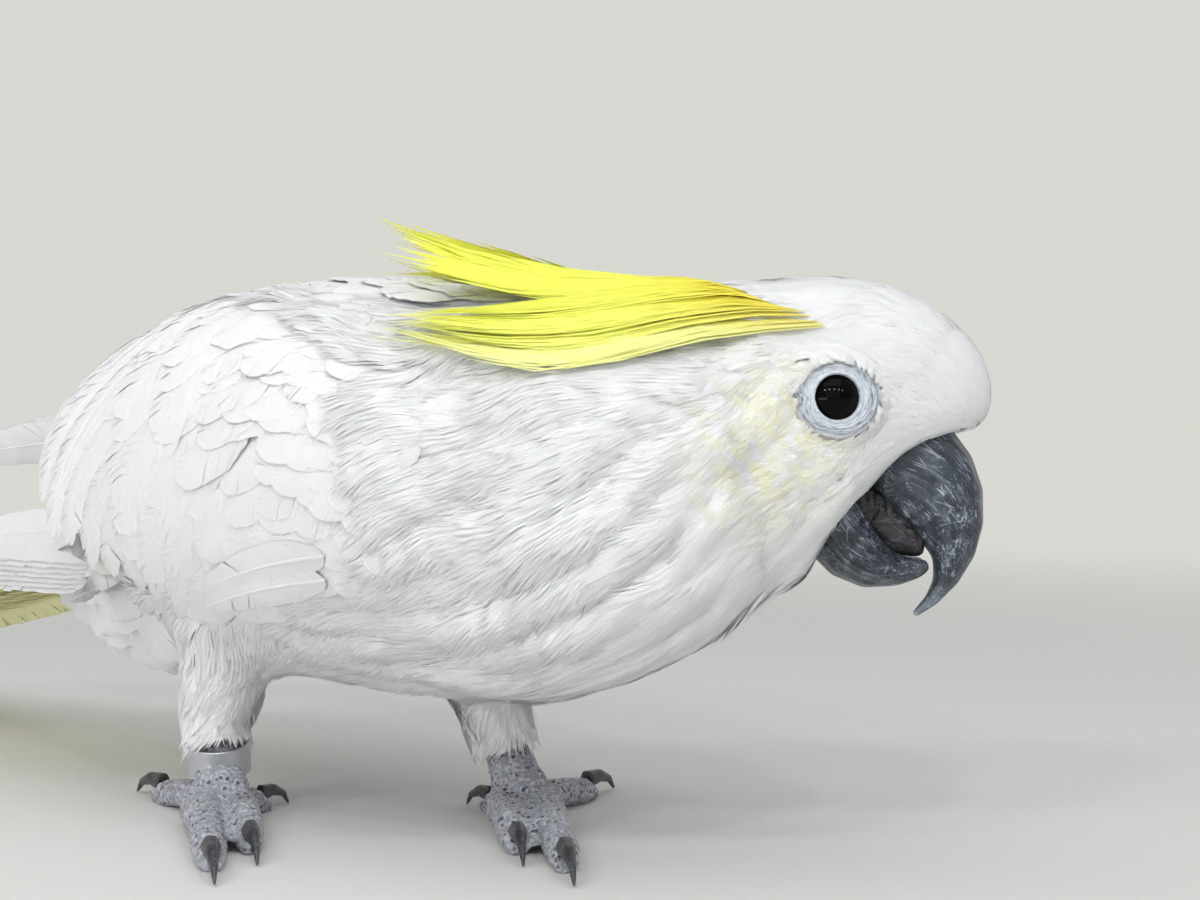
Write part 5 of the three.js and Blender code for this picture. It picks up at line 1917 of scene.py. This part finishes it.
eye_black = eye_material()
for side in SIDES:
    eye = hang(f"eyeball_{side}", eyeball(side), eye_black)
    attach(eye, "root")
    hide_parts(f"eye_{side}")


# ---------------------------------------------------------------- claws
# Curved tapering horn claws on every toe, near black, with fine lengthwise streaks. Each is a
# smoothed copy of its solid, rooted in the skin of its toe.
CLAW_TONES = ((0.02, 0.021, 0.024), (0.06, 0.062, 0.07), (0.2, 0.2, 0.22))
claw_horn = horn_material("claw_horn", *CLAW_TONES, 0.35)
for toe in TOES:
    node = toe.replace("toe", "claw")
    claw = smooth_copy(f"{node}_horn", node, 0.45 * MM, 3)
    keep_lengthwise(claw.data, at(node, 0.5, 0.5, -0.6))
    claw.data.materials.append(claw_horn)


# ---------------------------------------------------------------- leg ring
# A plain metal band that lies loosely round the right shank, brushed and worn dull. Its bevelled
# section is spun round and then tilted the way the band hangs.
BAND_TILT = math.radians(12)
BAND_WALL, BAND_BEVEL = 0.9 * MM, 0.2 * MM
BAND_STEPS = 64
BAND_TONES = ((0.50, 0.51, 0.54), (0.66, 0.67, 0.70))


def band(node):
    """The section of the band, with bevelled corners, spun round and tilted into place."""
    low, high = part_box(node)
    across = (high.y - low.y) * math.sin(BAND_TILT)
    half = (high.z - low.z - across) / math.cos(BAND_TILT) / 2
    outer = (high.x - low.x) / 2
    inner = outer - BAND_WALL
    section = [
        (inner + BAND_BEVEL, -half),
        (outer - BAND_BEVEL, -half),
        (outer, -half + BAND_BEVEL),
        (outer, half - BAND_BEVEL),
        (outer - BAND_BEVEL, half),
        (inner + BAND_BEVEL, half),
        (inner, half - BAND_BEVEL),
        (inner, -half + BAND_BEVEL),
    ]
    bm = bmesh.new()
    corners = [bm.verts.new((r, 0, z)) for r, z in section]
    outline = [bm.edges.new((corners[k - 1], corners[k])) for k in range(len(corners))]
    bmesh.ops.spin(
        bm,
        geom=corners + outline,
        axis=(0, 0, 1),
        angle=2 * math.pi,
        steps=BAND_STEPS,
        use_merge=True,
    )
    bmesh.ops.recalc_face_normals(bm, faces=bm.faces)
    tilt = Matrix.Rotation(BAND_TILT, 3, "X")
    bmesh.ops.rotate(bm, verts=bm.verts, matrix=tilt)
    bmesh.ops.translate(bm, verts=bm.verts, vec=(low + high) / 2)
    return mesh_of(bm, "shank_band")


def metal_material():
    material, tree, bsdf = shader("ring_metal")
    brushed = noisy(tree, stretched(tree, here(tree), (1, 1, 12)), 300.0, 4.0)
    coloured(tree, bsdf, mixed(tree, brushed, *BAND_TONES))
    bumped(tree, bsdf, brushed, 0.3, 0.05 * MM)
    set_values(bsdf, {"Metallic": 0.85, "Roughness": 0.42})
    return material


ring = hang("shank_band", band("leg_ring"), metal_material())
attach(ring, "root")
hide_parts("leg_ring")
